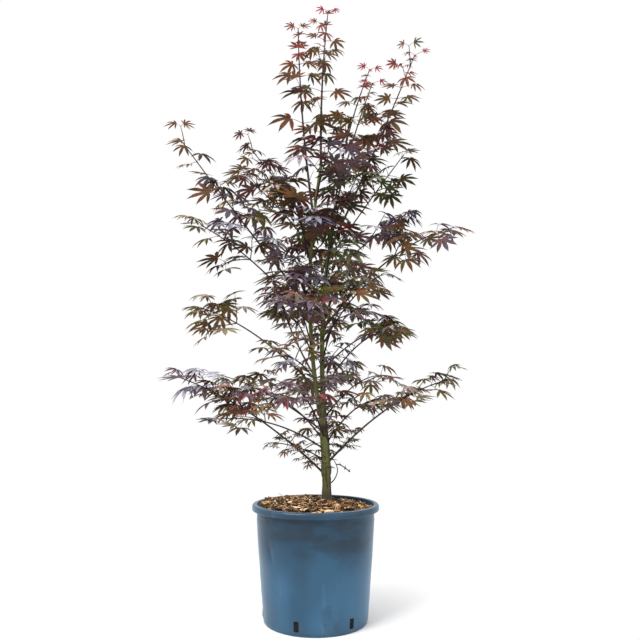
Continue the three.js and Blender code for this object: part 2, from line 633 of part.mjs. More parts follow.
function compost() {
  const base = POT.floor + GAP;
  const edge = COMPOST.edgeHeight - COMPOST.heap;
  const reachAt = (height) => insideRadius(height) - GAP;
  const profile = [[0, base], [reachAt(base), base]];
  for (let k = COMPOST.rings; k >= 0; k--) profile.push([(reachAt(edge) * k) / COMPOST.rings, edge]);
  const points = profile.map(([radius, height]) => new THREE.Vector2(radius, height));
  const geometry = new THREE.LatheGeometry(points, POT.facets).rotateX(Math.PI / 2);
  const position = geometry.getAttribute('position');
  for (let i = 0; i < position.count; i++) {
    if (position.getZ(i) > base + 1) position.setZ(i, surfaceHeight(position.getX(i), position.getY(i)));
  }
  const plugs = Array.from({ length: POT.slots }, (_, i) => slotBlock(i, GAP, COMPOST.plugBulge));
  const fill = wasm.Manifold.union([solidOf(geometry), ...plugs, ...barkChips()]);
  const foot = new THREE.Vector3(...TRUNK.foot);
  const seat = new THREE.LineCurve3(foot.clone().setZ(foot.z - GAP), foot.clone().setZ(foot.z + COMPOST.seat));
  return mainBody(fill.subtract(rod(seat, 0, 1, () => TRUNK.girth[0][1] + GAP, TRUNK.sides, 1)));
}

// ---------------------------------------------------------------------------------------------------
// Assembly

const LOOKS = {
  pot: { color: 0x4c6a86, roughness: 0.5 },
  compost: { color: 0x5a4030, roughness: 0.95 },
  bark: { color: 0x5c6440, roughness: 0.8 },
  mature: { color: 0x4a2a2c, roughness: 0.6 },
  young: { color: 0x8a3424, roughness: 0.6 },
  shaded: { color: 0x464a2c, roughness: 0.6 },
};

const maple = new THREE.Group();

function addNode(name, solid, look) {
  const { vertProperties, triVerts } = solid.getMesh();
  const geometry = new THREE.BufferGeometry()
    .setAttribute('position', new THREE.BufferAttribute(vertProperties, 3))
    .setIndex(new THREE.BufferAttribute(triVerts, 1));
  geometry.computeVertexNormals();
  const mesh = new THREE.Mesh(geometry, new THREE.MeshStandardMaterial({ metalness: 0, ...LOOKS[look] }));
  mesh.name = name;
  maple.add(mesh);
}

function addLimb(name, solid) {
  addNode(name, solid, 'bark');
  remember(name, solid);
}

addNode('pot', pot(), 'pot');
addNode('compost', compost(), 'compost');
addLimb('trunk', trunk());
for (const { name } of STEMS) addLimb(name, cutClear(woodSolid(name, 0), 'trunk'));
addLimb(DEAD_TWIG.name, cutClear(limbSolid(DEAD_TWIG.name, 0, 1, BOUGH), 'trunk'));

const masses = LIMBS.map((limb) => {
  const { name, parent, leafy, bough } = limb;
  if (bough) addLimb(`${name}_bough`, cutClear(limbSolid(name, 0, leafy, BOUGH), parent));
  const stem = bough
    ? limbSolid(name, stemStart(limb), 1, LEAFY_STEM)
    : cutClear(limbSolid(name, 0, 1, LEAFY_STEM), parent);
  remember(`${name}_leaves`, stem);
  return { limb, stem };
});

masses.forEach(({ limb, stem }, number) => {
  const look = limb.name.endsWith('leader') ? 'young' : limb.tip[2] < 700 ? 'shaded' : 'mature';
  addNode(`${limb.name}_leaves`, growMass(limb, number, stem), look);
});

export default maple;
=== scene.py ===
"""A young Japanese maple with two stems, in a round plastic nursery pot of compost and bark.

The plant grows by rule, from named sizes. Every limb is one curve from its parent to its tip, and its
far end bears pairs of twigs and leaves. Sizes are in millimetres until a mesh is made.
"""

import json
import logging
import math
from collections.abc import Callable, Iterable
from dataclasses import dataclass
from enum import Enum, IntEnum

import bpy
import numpy as np
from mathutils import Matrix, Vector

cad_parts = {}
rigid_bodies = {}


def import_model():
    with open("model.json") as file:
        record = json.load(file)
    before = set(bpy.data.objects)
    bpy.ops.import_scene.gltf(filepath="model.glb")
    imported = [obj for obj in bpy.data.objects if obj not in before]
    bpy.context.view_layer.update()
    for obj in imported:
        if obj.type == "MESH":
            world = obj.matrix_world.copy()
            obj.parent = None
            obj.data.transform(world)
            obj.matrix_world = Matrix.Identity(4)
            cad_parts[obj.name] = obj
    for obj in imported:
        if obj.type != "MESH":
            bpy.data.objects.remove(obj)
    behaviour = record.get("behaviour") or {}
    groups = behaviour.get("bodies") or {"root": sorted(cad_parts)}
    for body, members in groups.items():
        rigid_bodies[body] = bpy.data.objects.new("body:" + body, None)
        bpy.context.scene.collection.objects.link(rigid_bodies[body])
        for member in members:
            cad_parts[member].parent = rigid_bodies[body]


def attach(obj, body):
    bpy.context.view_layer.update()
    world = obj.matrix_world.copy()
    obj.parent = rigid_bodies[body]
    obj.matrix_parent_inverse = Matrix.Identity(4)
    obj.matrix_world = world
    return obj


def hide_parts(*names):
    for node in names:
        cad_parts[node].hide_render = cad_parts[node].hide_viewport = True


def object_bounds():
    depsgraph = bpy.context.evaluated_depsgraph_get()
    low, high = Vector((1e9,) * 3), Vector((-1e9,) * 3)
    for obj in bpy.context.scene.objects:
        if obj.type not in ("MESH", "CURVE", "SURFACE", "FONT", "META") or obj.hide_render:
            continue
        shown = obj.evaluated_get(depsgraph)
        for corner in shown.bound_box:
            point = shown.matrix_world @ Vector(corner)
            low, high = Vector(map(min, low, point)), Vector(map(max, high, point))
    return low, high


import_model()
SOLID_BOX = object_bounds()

log = logging.getLogger("maple")

Colour = tuple[float, float, float]
Array = np.ndarray
Rows = tuple[tuple[float, ...], ...]
UP = np.array([0.0, 0.0, 1.0])
AXES = np.eye(3)
ASKEW = np.array([0.3, 1, 0.2])  # a direction that no limb follows
MM = 1e-3  # a millimetre, in metres
METRE = 1000  # a metre, in millimetres
TINY = 1e-9
FULL_TURN = 6.28
BOTH_HANDS = (0, 180)  # the two of a pair, in degrees about their limb


# ------------------------------------------------------------
# Numbers and curves


class Seed(IntEnum):
    """What starts each run of draws, so that no two things share one."""

    POT_WALL = 3
    CRUMBS = 5
    PLUG = 9
    CHIP = 17
    LARGE_CHIP = 19
    STRAW = 23
    ROD = 31
    TRUNK = 41
    SPUR = 61
    SPUR_SPRAY = 63
    PAIR_TINT = 71
    END_TINT = 73
    STUB = 83


class Draws:
    """A run of numbers that is the same for the same seed."""

    START, FACTOR, STEP = 7, 31, 17
    STRIDE = 0x6D2B79F5
    WORD = 0xFFFFFFFF

    def __init__(self, *keys: int) -> None:
        """Starts the run.

        Args:
            keys: Whole numbers that make up the seed.
        """
        self.state = self.START
        for key in keys:
            self.state = (self.state * self.FACTOR + key + self.STEP) & self.WORD

    def __call__(self, low: float, high: float) -> float:
        """Draws the next number.

        Args:
            low: Smallest number that may come.
            high: Largest number that may come.

        Returns:
            A number between the two.
        """
        self.state = (self.state + self.STRIDE) & self.WORD
        mix = ((self.state ^ (self.state >> 15)) * (self.state | 1)) & self.WORD
        mix ^= (mix + (mix ^ (mix >> 7)) * (mix | 61)) & self.WORD
        return low + (high - low) * ((mix ^ (mix >> 14)) & self.WORD) / (self.WORD + 1)


def lerp(low: float, high: float, share: float) -> float:
    """The value a share of the way from low to high."""
    return low + (high - low) * share


def unit(vector: Array) -> Array:
    """The vector at a length of 1."""
    return vector / max(float(np.linalg.norm(vector)), TINY)


def turned(vector: Array, axis: Array, degrees: float) -> Array:
    """Turns a vector about an axis.

    Args:
        vector: What is turned.
        axis: A direction of length 1.
        degrees: How far, by the right-hand rule.

    Returns:
        The turned vector.
    """
    angle = math.radians(degrees)
    along = axis * float(np.dot(axis, vector))
    return along + (vector - along) * math.cos(angle) + np.cross(axis, vector) * math.sin(angle)


def place(bearing: float, reach: float, height: float) -> Array:
    """The point at a bearing in degrees, a reach from the pot's axis and a height."""
    angle = math.radians(bearing)
    return np.array([reach * math.cos(angle), reach * math.sin(angle), height])


def paint(red: int, green: int, blue: int) -> Colour:
    """A colour of a painter's chart, as the light that it sends back.

    Args:
        red: Its red, from 0 to 255.
        green: Its green.
        blue: Its blue.

    Returns:
        The colour, from 0 to 1.
    """
    knee, slope, lift, gamma = 0.04045, 12.92, 0.055, 2.4
    parts = [value / 255 for value in (red, green, blue)]
    linear = [p / slope if p <= knee else ((p + lift) / (1 + lift)) ** gamma for p in parts]
    return linear[0], linear[1], linear[2]


@dataclass(frozen=True)
class Curve:
    """A limb's line: a start, an end and a control point between them."""

    HALVINGS = 30

    start: Array
    control: Array
    end: Array

    @classmethod
    def bent(cls, start: Array, end: Array, bend: Iterable[float]) -> "Curve":
        """A curve between two points, whose middle lies off the straight line by bend."""
        return cls(start, (start + end) / 2 + 2 * np.array(list(bend), float), end)

    def point(self, share: float) -> Array:
        """The point a share of the way along."""
        rest = 1 - share
        return rest**2 * self.start + 2 * rest * share * self.control + share**2 * self.end

    def tangent(self, share: float) -> Array:
        """The direction a share of the way along."""
        slope = (1 - share) * (self.control - self.start) + share * (self.end - self.control)
        return unit(slope)

    def points(self, low: float, high: float, count: int) -> Array:
        """Evenly spread points between two shares."""
        return np.array([self.point(share) for share in np.linspace(low, high, count)])

    def share_at_height(self, height: float) -> float:
        """Finds where a rising curve reaches a height.

        Args:
            height: The height.

        Returns:
            The share along the curve.
        """
        low, high = 0.0, 1.0
        for _ in range(self.HALVINGS):
            middle = (low + high) / 2
            if self.point(middle)[2] < height:
                low = middle
            else:
                high = middle
        return low


def threaded(spots: Iterable[Iterable[float]], count: int) -> Array:
    """A smooth line through places.

    Args:
        spots: The places.
        count: How many points the line has.

    Returns:
        Its points.
    """
    given = np.array([tuple(spot) for spot in spots], float)
    full = np.concatenate([2 * given[:1] - given[1:2], given, 2 * given[-1:] - given[-2:-1]])
    line = []
    last = len(given) - 1.0001  # just short of the last place
    for where in np.linspace(0, last, count):
        k, t = int(where), where - int(where)
        before, here, there, after = full[k : k + 4]
        slope, turn = there - before, 2 * before - 5 * here + 4 * there - after
        sway = 3 * here - before - 3 * there + after
        line.append(here + 0.5 * (slope * t + turn * t**2 + sway * t**3))
    return np.array(line)


def wander(angle: Array, along: Array, waves: int, draw: Draws, pitch: float) -> Array:
    """A smooth relief on a round surface.

    Args:
        angle: Angles about the surface's axis, in radians.
        along: Distances along it, in millimetres.
        waves: Most waves round the axis.
        draw: Where the waves' phases come from.
        pitch: Shortest wave along the axis.

    Returns:
        Heights of about -1 to 1.
    """
    layers, longest, level = 8, 3.4, 2.6
    total = np.zeros(np.broadcast(angle, along).shape)
    for layer in range(layers):
        around = round(draw(0, waves))
        beat = 2 * math.pi / (pitch * draw(1, longest))
        phase = draw(0, FULL_TURN)
        total = total + np.sin(around * angle + beat * along + phase) / math.sqrt(layer + 2)
    return total / level


def hump(along: Array, spot: Array | float, reach: float) -> Array:
    """A smooth hump of height 1, by places along a line, its middle and about half its length."""
    return np.exp(-(((along - spot) / reach) ** 2))


# ------------------------------------------------------------
# Meshes


class Heap:
    """Many small shapes, gathered in millimetres to make one mesh."""

    def __init__(self) -> None:
        """Starts with nothing in it."""
        self.points: list[Array] = []
        self.faces: dict[int, list[Array]] = {3: [], 4: []}
        self.count = 0

    def add(self, points: Array, *faces: Array) -> None:
        """Adds a shape.

        Args:
            points: Its points, one row each.
            faces: Arrays of triangles or of quads, as rows of point numbers.
        """
        for group in faces:
            if len(group):
                rows = np.asarray(group, int)
                self.faces[rows.shape[1]].append(rows + self.count)
        self.points.append(np.asarray(points, float))
        self.count += len(points)

    def make(self, name: str, smooth: bool = True) -> bpy.types.Object:
        """Makes the mesh and its object.

        Args:
            name: The object's name.
            smooth: Whether its faces are shaded as one surface.

        Returns:
            The object, in metres.
        """
        groups = [np.concatenate(rows) for rows in self.faces.values() if rows]
        sizes = np.concatenate([np.full(len(rows), rows.shape[1]) for rows in groups])
        mesh = bpy.data.meshes.new(name)
        mesh.vertices.add(self.count)
        mesh.vertices.foreach_set("co", (np.concatenate(self.points) * MM).ravel())
        mesh.loops.add(int(sizes.sum()))
        mesh.loops.foreach_set("vertex_index", np.concatenate([rows.ravel() for rows in groups]))
        mesh.polygons.add(len(sizes))
        mesh.polygons.foreach_set("loop_start", np.cumsum(sizes) - sizes)
        mesh.polygons.foreach_set("use_smooth", np.full(len(sizes), smooth))
        mesh.update(calc_edges=True)
        mesh.validate()
        piece = bpy.data.objects.new(name, mesh)
        bpy.context.scene.collection.objects.link(piece)
        return piece


def ring_faces(rings: int, sides: int, start: int = 0) -> Array:
    """Quads between neighbouring rings of points.

    Args:
        rings: How many rings there are.
        sides: Points in each.
        start: The number of the first point.

    Returns:
        The quads, facing outwards where the rings run anticlockwise upwards.
    """
    ring, side = np.meshgrid(np.arange(rings - 1), np.arange(sides), indexing="ij")
    this = start + ring * sides + side
    that = start + ring * sides + (side + 1) % sides
    return np.stack([this, that, that + sides, this + sides], -1).reshape(-1, 4)


def closed_stack(rings: Array, ends: Iterable[Iterable[float]]) -> tuple[Array, Array, Array]:
    """A solid of stacked rings of points, closed by a fan of triangles at each end.

    Args:
        rings: The points, by ring and by place round it.
        ends: The middles of its first and its last ring.

    Returns:
        Its points, its quads and the triangles of its two ends.
    """
    count, sides = rings.shape[:2]
    side = np.arange(sides)
    after = (side + 1) % sides
    top = (count - 1) * sides
    low = np.stack([np.full(sides, count * sides), after, side], -1)
    high = np.stack([np.full(sides, count * sides + 1), top + side, top + after], -1)
    points = np.concatenate([rings.reshape(-1, 3), np.array(list(ends), float)])
    return points, ring_faces(count, sides), np.concatenate([low, high])


def flat_lids(rings: int, sides: int) -> Array:
    """Triangles that close both ends of stacked rings, with no point in the middle.

    Args:
        rings: How many rings there are.
        sides: Points in each.

    Returns:
        The triangles.
    """
    top = (rings - 1) * sides
    low = [[0, k + 1, k] for k in range(1, sides - 1)]
    high = [[top, top + k, top + k + 1] for k in range(1, sides - 1)]
    return np.array(low + high)


def angles_round(sides: int) -> Array:
    """Evenly spread angles round an axis, in radians."""
    return np.linspace(0, 2 * math.pi, sides, endpoint=False)


def tube(
    line: Array, radii: Array, sides: int, relief: Callable | None = None
) -> tuple[Array, Array, Array]:
    """A closed rod of changing girth along a line.

    Args:
        line: Points of its axis.
        radii: Its radius at each of them.
        sides: Points round it.
        relief: What is added to the radius, from an angle and a distance along the line.

    Returns:
        Its points, its quads and the triangles of its two ends.
    """
    along = np.gradient(line, axis=0)
    along /= np.linalg.norm(along, axis=1, keepdims=True)
    across = np.cross(ASKEW, along)
    across /= np.linalg.norm(across, axis=1, keepdims=True)
    over = np.cross(along, across)
    angle = angles_round(sides)
    steps = np.linalg.norm(np.diff(line, axis=0), axis=1)
    distance = np.concatenate([[0], np.cumsum(steps)])
    girth = np.repeat(np.asarray(radii, float)[:, None], sides, 1)
    if relief:
        girth = girth + relief(angle[None, :], distance[:, None])
    cosine, sine = np.cos(angle)[None, :, None], np.sin(angle)[None, :, None]
    rim = across[:, None, :] * cosine + over[:, None, :] * sine
    return closed_stack(line[:, None, :] + rim * girth[:, :, None], (line[0], line[-1]))


# ------------------------------------------------------------
# Node trees


class Val:
    """A number in a node tree. Sums on it add Math nodes."""

    def __init__(self, tree: "Tree", socket: bpy.types.NodeSocket) -> None:
        """Wraps an output of a node in a tree."""
        self.tree = tree
        self.socket = socket

    def __add__(self, other: "Val | float") -> "Val":
        """This plus another."""
        return self.tree.maths("ADD", self, other)

    __radd__ = __add__

    def __sub__(self, other: "Val | float") -> "Val":
        """This minus another."""
        return self.tree.maths("SUBTRACT", self, other)

    def __rsub__(self, other: float) -> "Val":
        """A number minus this."""
        return self.tree.maths("SUBTRACT", other, self)

    def __mul__(self, other: "Val | float") -> "Val":
        """This times another."""
        return self.tree.maths("MULTIPLY", self, other)

    __rmul__ = __mul__

    def fade(self, low: float, high: float) -> "Val":
        """A smooth step from 0 at one value of this to 1 at another.

        Args:
            low: Where it is 0.
            high: Where it is 1.

        Returns:
            The step.
        """
        settings = {"interpolation_type": "SMOOTHSTEP"}
        inputs = {"Value": self, "From Min": low, "From Max": high}
        return Val(self.tree, self.tree.node("ShaderNodeMapRange", settings, inputs).outputs["Result"])


class Tree:
    """The nodes of one material, round one Principled shader."""

    MIX_FACTOR, MIX_FIRST, MIX_SECOND = 0, 6, 7
    MIX_COLOUR = 2

    def __init__(self, name: str) -> None:
        """Makes the material.

        Args:
            name: The material's name.
        """
        self.material = bpy.data.materials.new(name)
        self.material.use_nodes = True
        self.nodes = self.material.node_tree.nodes
        self.links = self.material.node_tree.links
        self.nodes.clear()
        self.shader = self.node("ShaderNodeBsdfPrincipled")
        self.output = self.node("ShaderNodeOutputMaterial")
        self.links.new(self.shader.outputs["BSDF"], self.output.inputs["Surface"])

    def node(self, kind: str, settings: dict | None = None, inputs: dict | None = None) -> bpy.types.Node:
        """Adds any node.

        Args:
            kind: The node's type.
            settings: Its own settings by name, set first.
            inputs: Numbers, colours, vectors or links by the name or number of a socket.

        Returns:
            The node.
        """
        made = self.nodes.new(kind)
        for name, value in (settings or {}).items():
            setattr(made, name, value)
        for name, value in (inputs or {}).items():
            self.feed(made.inputs[name], value)
        return made

    def feed(self, socket: bpy.types.NodeSocket, value: object) -> None:
        """Gives a socket its link or its own value.

        Args:
            socket: The socket.
            value: A Val, an output, a number, a colour or a vector.
        """
        if isinstance(value, Val):
            self.links.new(value.socket, socket)
        elif isinstance(value, bpy.types.NodeSocket):
            self.links.new(value, socket)
        elif isinstance(value, tuple) and socket.type == "RGBA":
            socket.default_value = (*value, 1)
        else:
            socket.default_value = value

    def maths(self, operation: str, one: Val | float, two: Val | float) -> Val:
        """Adds a Math node."""
        made = self.node("ShaderNodeMath", {"operation": operation}, {0: one, 1: two})
        return Val(self, made.outputs["Value"])

    def blend(
        self, factor: Val | float, one: object, two: object, how: str = "MIX"
    ) -> bpy.types.NodeSocket:
        """Mixes two colours.

        Args:
            factor: 0 for the first and 1 for the second.
            one: The first colour.
            two: The second colour.
            how: The way they are mixed.

        Returns:
            The mixed colour.
        """
        settings = {"data_type": "RGBA", "blend_type": how, "clamp_factor": True}
        inputs = {self.MIX_FACTOR: factor, self.MIX_FIRST: one, self.MIX_SECOND: two}
        return self.node("ShaderNodeMix", settings, inputs).outputs[self.MIX_COLOUR]

    def spot(self, stretch: tuple[float, float, float] = (1, 1, 1)) -> bpy.types.NodeSocket:
        """The place on the piece, in metres, with each direction stretched."""
        inputs = {"Vector": self.node("ShaderNodeTexCoord").outputs["Object"], "Scale": stretch}
        return self.node("ShaderNodeMapping", {"vector_type": "POINT"}, inputs).outputs["Vector"]

    def _along(self, coordinate: str, axis: str) -> Val:
        """One axis of a coordinate of the piece."""
        where = self.node("ShaderNodeTexCoord").outputs[coordinate]
        return Val(self, self.node("ShaderNodeSeparateXYZ", None, {"Vector": where}).outputs[axis])

    def height(self) -> Val:
        """The height on the piece, in metres."""
        return self._along("Object", "Z")

    def facing(self) -> Val:
        """How far the surface faces the piece's right side, from -1 to 1."""
        return self._along("Normal", "X")

    def noise(self, scale: float, detail: float = 2, where: object = None, rough: float = 0.5) -> Val:
        """A noise of 0 to 1, by its grains in a metre and the number and strength of its finer layers."""
        inputs = {"Vector": where or self.spot(), "Scale": scale, "Detail": detail, "Roughness": rough}
        return Val(self, self.node("ShaderNodeTexNoise", None, inputs).outputs[0])

    def cells(self, scale: float, where: object = None) -> Val:
        """The distance to the nearest of many scattered points."""
        inputs = {"Vector": where or self.spot(), "Scale": scale}
        return Val(self, self.node("ShaderNodeTexVoronoi", None, inputs).outputs["Distance"])

    def bump(self, height: Val, depth: float) -> None:
        """Gives the shader a relief from 0 to 1, with its depth in metres."""
        bump = self.node("ShaderNodeBump", None, {"Height": height, "Distance": depth})
        self.feed(self.shader.inputs["Normal"], bump.outputs["Normal"])

    def veil(self, factor: Val, top: bpy.types.NodeSocket) -> None:
        """Lays another shader over this one.

        Args:
            factor: 0 where this one shows and 1 where the other does.
            top: The other shader's output.
        """
        mixed = self.node("ShaderNodeMixShader", None, {0: factor})
        self.links.new(self.shader.outputs["BSDF"], mixed.inputs[1])
        self.links.new(top, mixed.inputs[2])
        self.links.new(mixed.outputs["Shader"], self.output.inputs["Surface"])

    def finish(self, **sockets: object) -> bpy.types.Material:
        """Feeds the shader.

        Args:
            sockets: Values or links by socket name, with _ for a space.

        Returns:
            The material.
        """
        for name, value in sockets.items():
            self.feed(self.shader.inputs[name.replace("_", " ")], value)
        return self.material


# ------------------------------------------------------------
# Finishes


@dataclass(frozen=True)
class PotPlastic:
    """Satin blue-grey plastic with painted shade on its upper wall and its lip, soil dust at the foot,
    rubs, scratches and marks.

    The bands are heights in metres: where the painted shade on the wall begins, where that ends under the
    lip, where the lip's painted shade starts and where the dust on the foot thins out.
    """

    shaded_band: tuple[float, float] = (0.1, 0.235)
    under_lip: tuple[float, float] = (0.255, 0.262)
    lip_shade_band: tuple[float, float] = (0.257, 0.262)
    foot_band: tuple[float, float] = (0.003, 0.04)
    glance: Colour = (0.5, 0.78, 1.0)

    body: Colour = paint(30, 62, 84)
    faded: Colour = paint(44, 88, 118)
    # the colour of the painted shade on the upper wall and the lip, and of the dark marks
    shade_and_mark: Colour = paint(22, 35, 46)
    soil: Colour = paint(62, 60, 54)
    rubbed: Colour = paint(92, 124, 144)
    roughness: float = 0.36

    def make(self) -> bpy.types.Material:
        """Makes the material.

        Returns:
            The material.
        """
        tree = Tree("pot_plastic")
        height = tree.height()
        broad = tree.noise(7, 2, tree.spot((1, 1, 0.6)))
        colour = tree.blend(broad.fade(0.3, 0.7), self.body, self.faded)
        # patches in which the painted shade on the upper wall is deeper
        shade_patches = tree.noise(13, 3, tree.spot((0.6, 0.6, 1.3)), 0.55)
        # painted shade: the upper wall darkens, deeper in patches, where the crown shades it, and stops
        # under the lip
        upper = height.fade(*self.shaded_band) * (1 - height.fade(*self.under_lip))
        colour = tree.blend(upper * 0.5 + upper * shade_patches.fade(0.42, 0.62) * 0.4, colour, self.shade_and_mark)
        # painted shade on the lip's front
        colour = tree.blend(height.fade(*self.lip_shade_band) * 0.5, colour, self.shade_and_mark)
        streak = tree.noise(30, 4, tree.spot((1, 1, 0.2)), 0.65)
        colour = tree.blend(streak.fade(0.6, 0.78) * 0.28, colour, self.rubbed)
        # dark marks on the plastic, in the same colour
        mark = tree.noise(22, 3, tree.spot((1, 1, 0.7)), 0.6)
        colour = tree.blend(mark.fade(0.58, 0.74) * 0.3, colour, self.shade_and_mark)
        scratch = tree.noise(60, 5, tree.spot((0.5, 0.5, 7)), 0.7)
        colour = tree.blend(scratch.fade(0.66, 0.74) * 0.25, colour, self.rubbed)
        speck = tree.noise(420, 2)
        low = 1 - height.fade(*self.foot_band)
        grime = low * speck.fade(0.46, 0.7) + streak.fade(0.7, 0.8) * speck.fade(0.5, 0.62) * 0.4
        colour = tree.blend(grime * 0.6, colour, self.soil)
        fine = tree.noise(900, 3)
        tree.bump(fine * 0.5 + scratch * 0.5, 0.00016)
        rough = self.roughness + grime * 0.3 + streak * 0.12 - 0.06
        return tree.finish(
            Base_Color=colour,
            Roughness=rough,
            Specular_IOR_Level=0.32,
            Sheen_Weight=0.42,
            Sheen_Roughness=0.3,
            Sheen_Tint=self.glance,
        )


@dataclass(frozen=True)
class Bark:
    """Thin bark with lengthwise streaks, pale pores, a browner foot and painted shade on the side that
    faces right.
    """

    name: str
    fresh: Colour
    streaked: Colour
    foot: Colour
    foot_height: float = 0.0
    foot_fade: float = 0.04
    pores: float = 0.35
    # how strongly shade is painted on the side that faces the piece's right
    shaded_side: float = 0.0
    roughness: float = 0.62
    pore: Colour = paint(150, 140, 112)

    def make(self) -> bpy.types.Material:
        """Makes the material.

        Returns:
            The material.
        """
        tree = Tree(self.name)
        grain = tree.noise(240, 4, tree.spot((1, 1, 0.14)), 0.62)
        patch = tree.noise(46, 3, tree.spot((1, 1, 0.5)))
        streaks = grain.fade(0.42, 0.66) * patch.fade(0.36, 0.62)
        colour = tree.blend(streaks, self.fresh, self.streaked)
        # painted shade: the side that faces right takes the streaks' darker colour
        if self.shaded_side:
            side = (tree.facing() + patch * 0.5).fade(0.5, 1.15) * self.shaded_side
            colour = tree.blend(side, colour, self.streaked)
        pores = 1 - tree.cells(260, tree.spot((1, 1, 0.6))).fade(0.1, 0.22)
        colour = tree.blend(pores * self.pores, colour, self.pore)
        down = 1 - tree.height().fade(self.foot_height, self.foot_height + self.foot_fade)
        worn = down * patch.fade(0.2, 0.55)
        colour = tree.blend(worn, colour, self.foot)
        tree.bump(grain * 0.8 + pores * 0.5, 0.0006)
        rough = self.roughness + grain * 0.2
        return tree.finish(Base_Color=colour, Roughness=rough, Specular_IOR_Level=0.28)


@dataclass(frozen=True)
class LeafSkin:
    """One face of a leaf: a tint that turns to another in places, a faint mottle, dark clouds of painted
    shade and a pale bloom.
    """

    name: str
    tint: Colour
    flush: Colour
    roughness: float
    shine: float = 0.3
    bloom: float = 0.0
    mottle: float = 0.16
    # how far the clouds of painted shade darken the colour
    depth: float = 0.45
    bloom_tint: Colour = (0.84, 0.86, 0.98)

    def make(self) -> bpy.types.Material:
        """Makes the material.

        Returns:
            The material.
        """
        tree = Tree(self.name)
        patch, grain = tree.noise(34, 2), tree.noise(190, 3)
        colour = tree.blend(patch.fade(0.4, 0.6), self.tint, self.flush)
        # painted shade: large soft clouds darken the colour, beside a fine mottle
        speckle, shade_clouds = grain.fade(0.35, 0.65), tree.noise(21, 2).fade(0.42, 0.6)
        for where, loss in ((speckle, 2 * self.mottle), (shade_clouds, self.depth)):
            shade = (1 - loss, 1 - loss, 1 - loss)
            colour = tree.blend(where, colour, tree.blend(1.0, colour, shade, "MULTIPLY"))
        tree.bump(tree.noise(700, 2), 0.00012)
        return tree.finish(
            Base_Color=colour,
            Roughness=self.roughness,
            Specular_IOR_Level=self.shine,
            Sheen_Weight=self.bloom,
            Sheen_Roughness=0.26,
            Sheen_Tint=self.bloom_tint,
        )


@dataclass(frozen=True)
class ChipWood:
    """A piece of bark or wood from the surface of the compost."""

    name: str
    tint: Colour
    dark: Colour

    def make(self) -> bpy.types.Material:
        """Makes the material.

        Returns:
            The material.
        """
        tree = Tree(self.name)
        grain = tree.noise(170, 4, None, 0.7)
        fine = tree.noise(900, 3)
        colour = tree.blend(grain.fade(0.38, 0.62), self.dark, self.tint)
        colour = tree.blend(fine.fade(0.5, 0.72) * 0.35, colour, self.dark)
        tree.bump(grain * 0.6 + fine * 0.4, 0.0009)
        return tree.finish(Base_Color=colour, Roughness=0.86)


@dataclass(frozen=True)
class Soil:
    """Moist compost with pale fibres."""

    name: str
    wet: Colour
    dry: Colour
    fibre: Colour

    def make(self) -> bpy.types.Material:
        """Makes the material.

        Returns:
            The material.
        """
        tree = Tree(self.name)
        crumbs = tree.noise(330, 5, None, 0.7)
        fibres = tree.noise(240, 2, tree.spot((1, 0.2, 1)))
        colour = tree.blend(crumbs.fade(0.35, 0.65), self.wet, self.dry)
        colour = tree.blend(fibres.fade(0.66, 0.74) * 0.5, colour, self.fibre)
        tree.bump(crumbs, 0.0018)
        return tree.finish(Base_Color=colour, Roughness=0.92, Specular_IOR_Level=0.2)


def settle(
    piece: bpy.types.Object, material: bpy.types.Material, nodes: Iterable[str] = ()
) -> None:
    """Dresses a piece and sets it in the frame.

    Args:
        piece: The piece, already in place.
        material: Its material.
        nodes: Names of the solids that it stands for.
    """
    piece.data.materials.clear()
    piece.data.materials.append(material)
    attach(piece, "root")
    if nodes:
        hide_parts(*nodes)
    piece.data.update()
    log.info("%-22s %7d faces", piece.name, len(piece.data.polygons))


# ------------------------------------------------------------
# Pot


@dataclass(frozen=True)
class Dent:
    """A soft dent in the pot's wall."""

    bearing: float
    height: float
    half_turn: float
    half_height: float
    depth: float
    slant: float = 0.0

    def press(self, bearing: Array, height: Array) -> Array:
        """How far the wall is pressed in.

        Args:
            bearing: Bearings on the wall, in degrees.
            height: Heights on the wall.

        Returns:
            Depths at those places.
        """
        aside = (bearing - self.bearing + 180) % 360 - 180 - self.slant * (height - self.height)
        rise = height - self.height
        return self.depth * np.exp(-((aside / self.half_turn) ** 2) - (rise / self.half_height) ** 2)


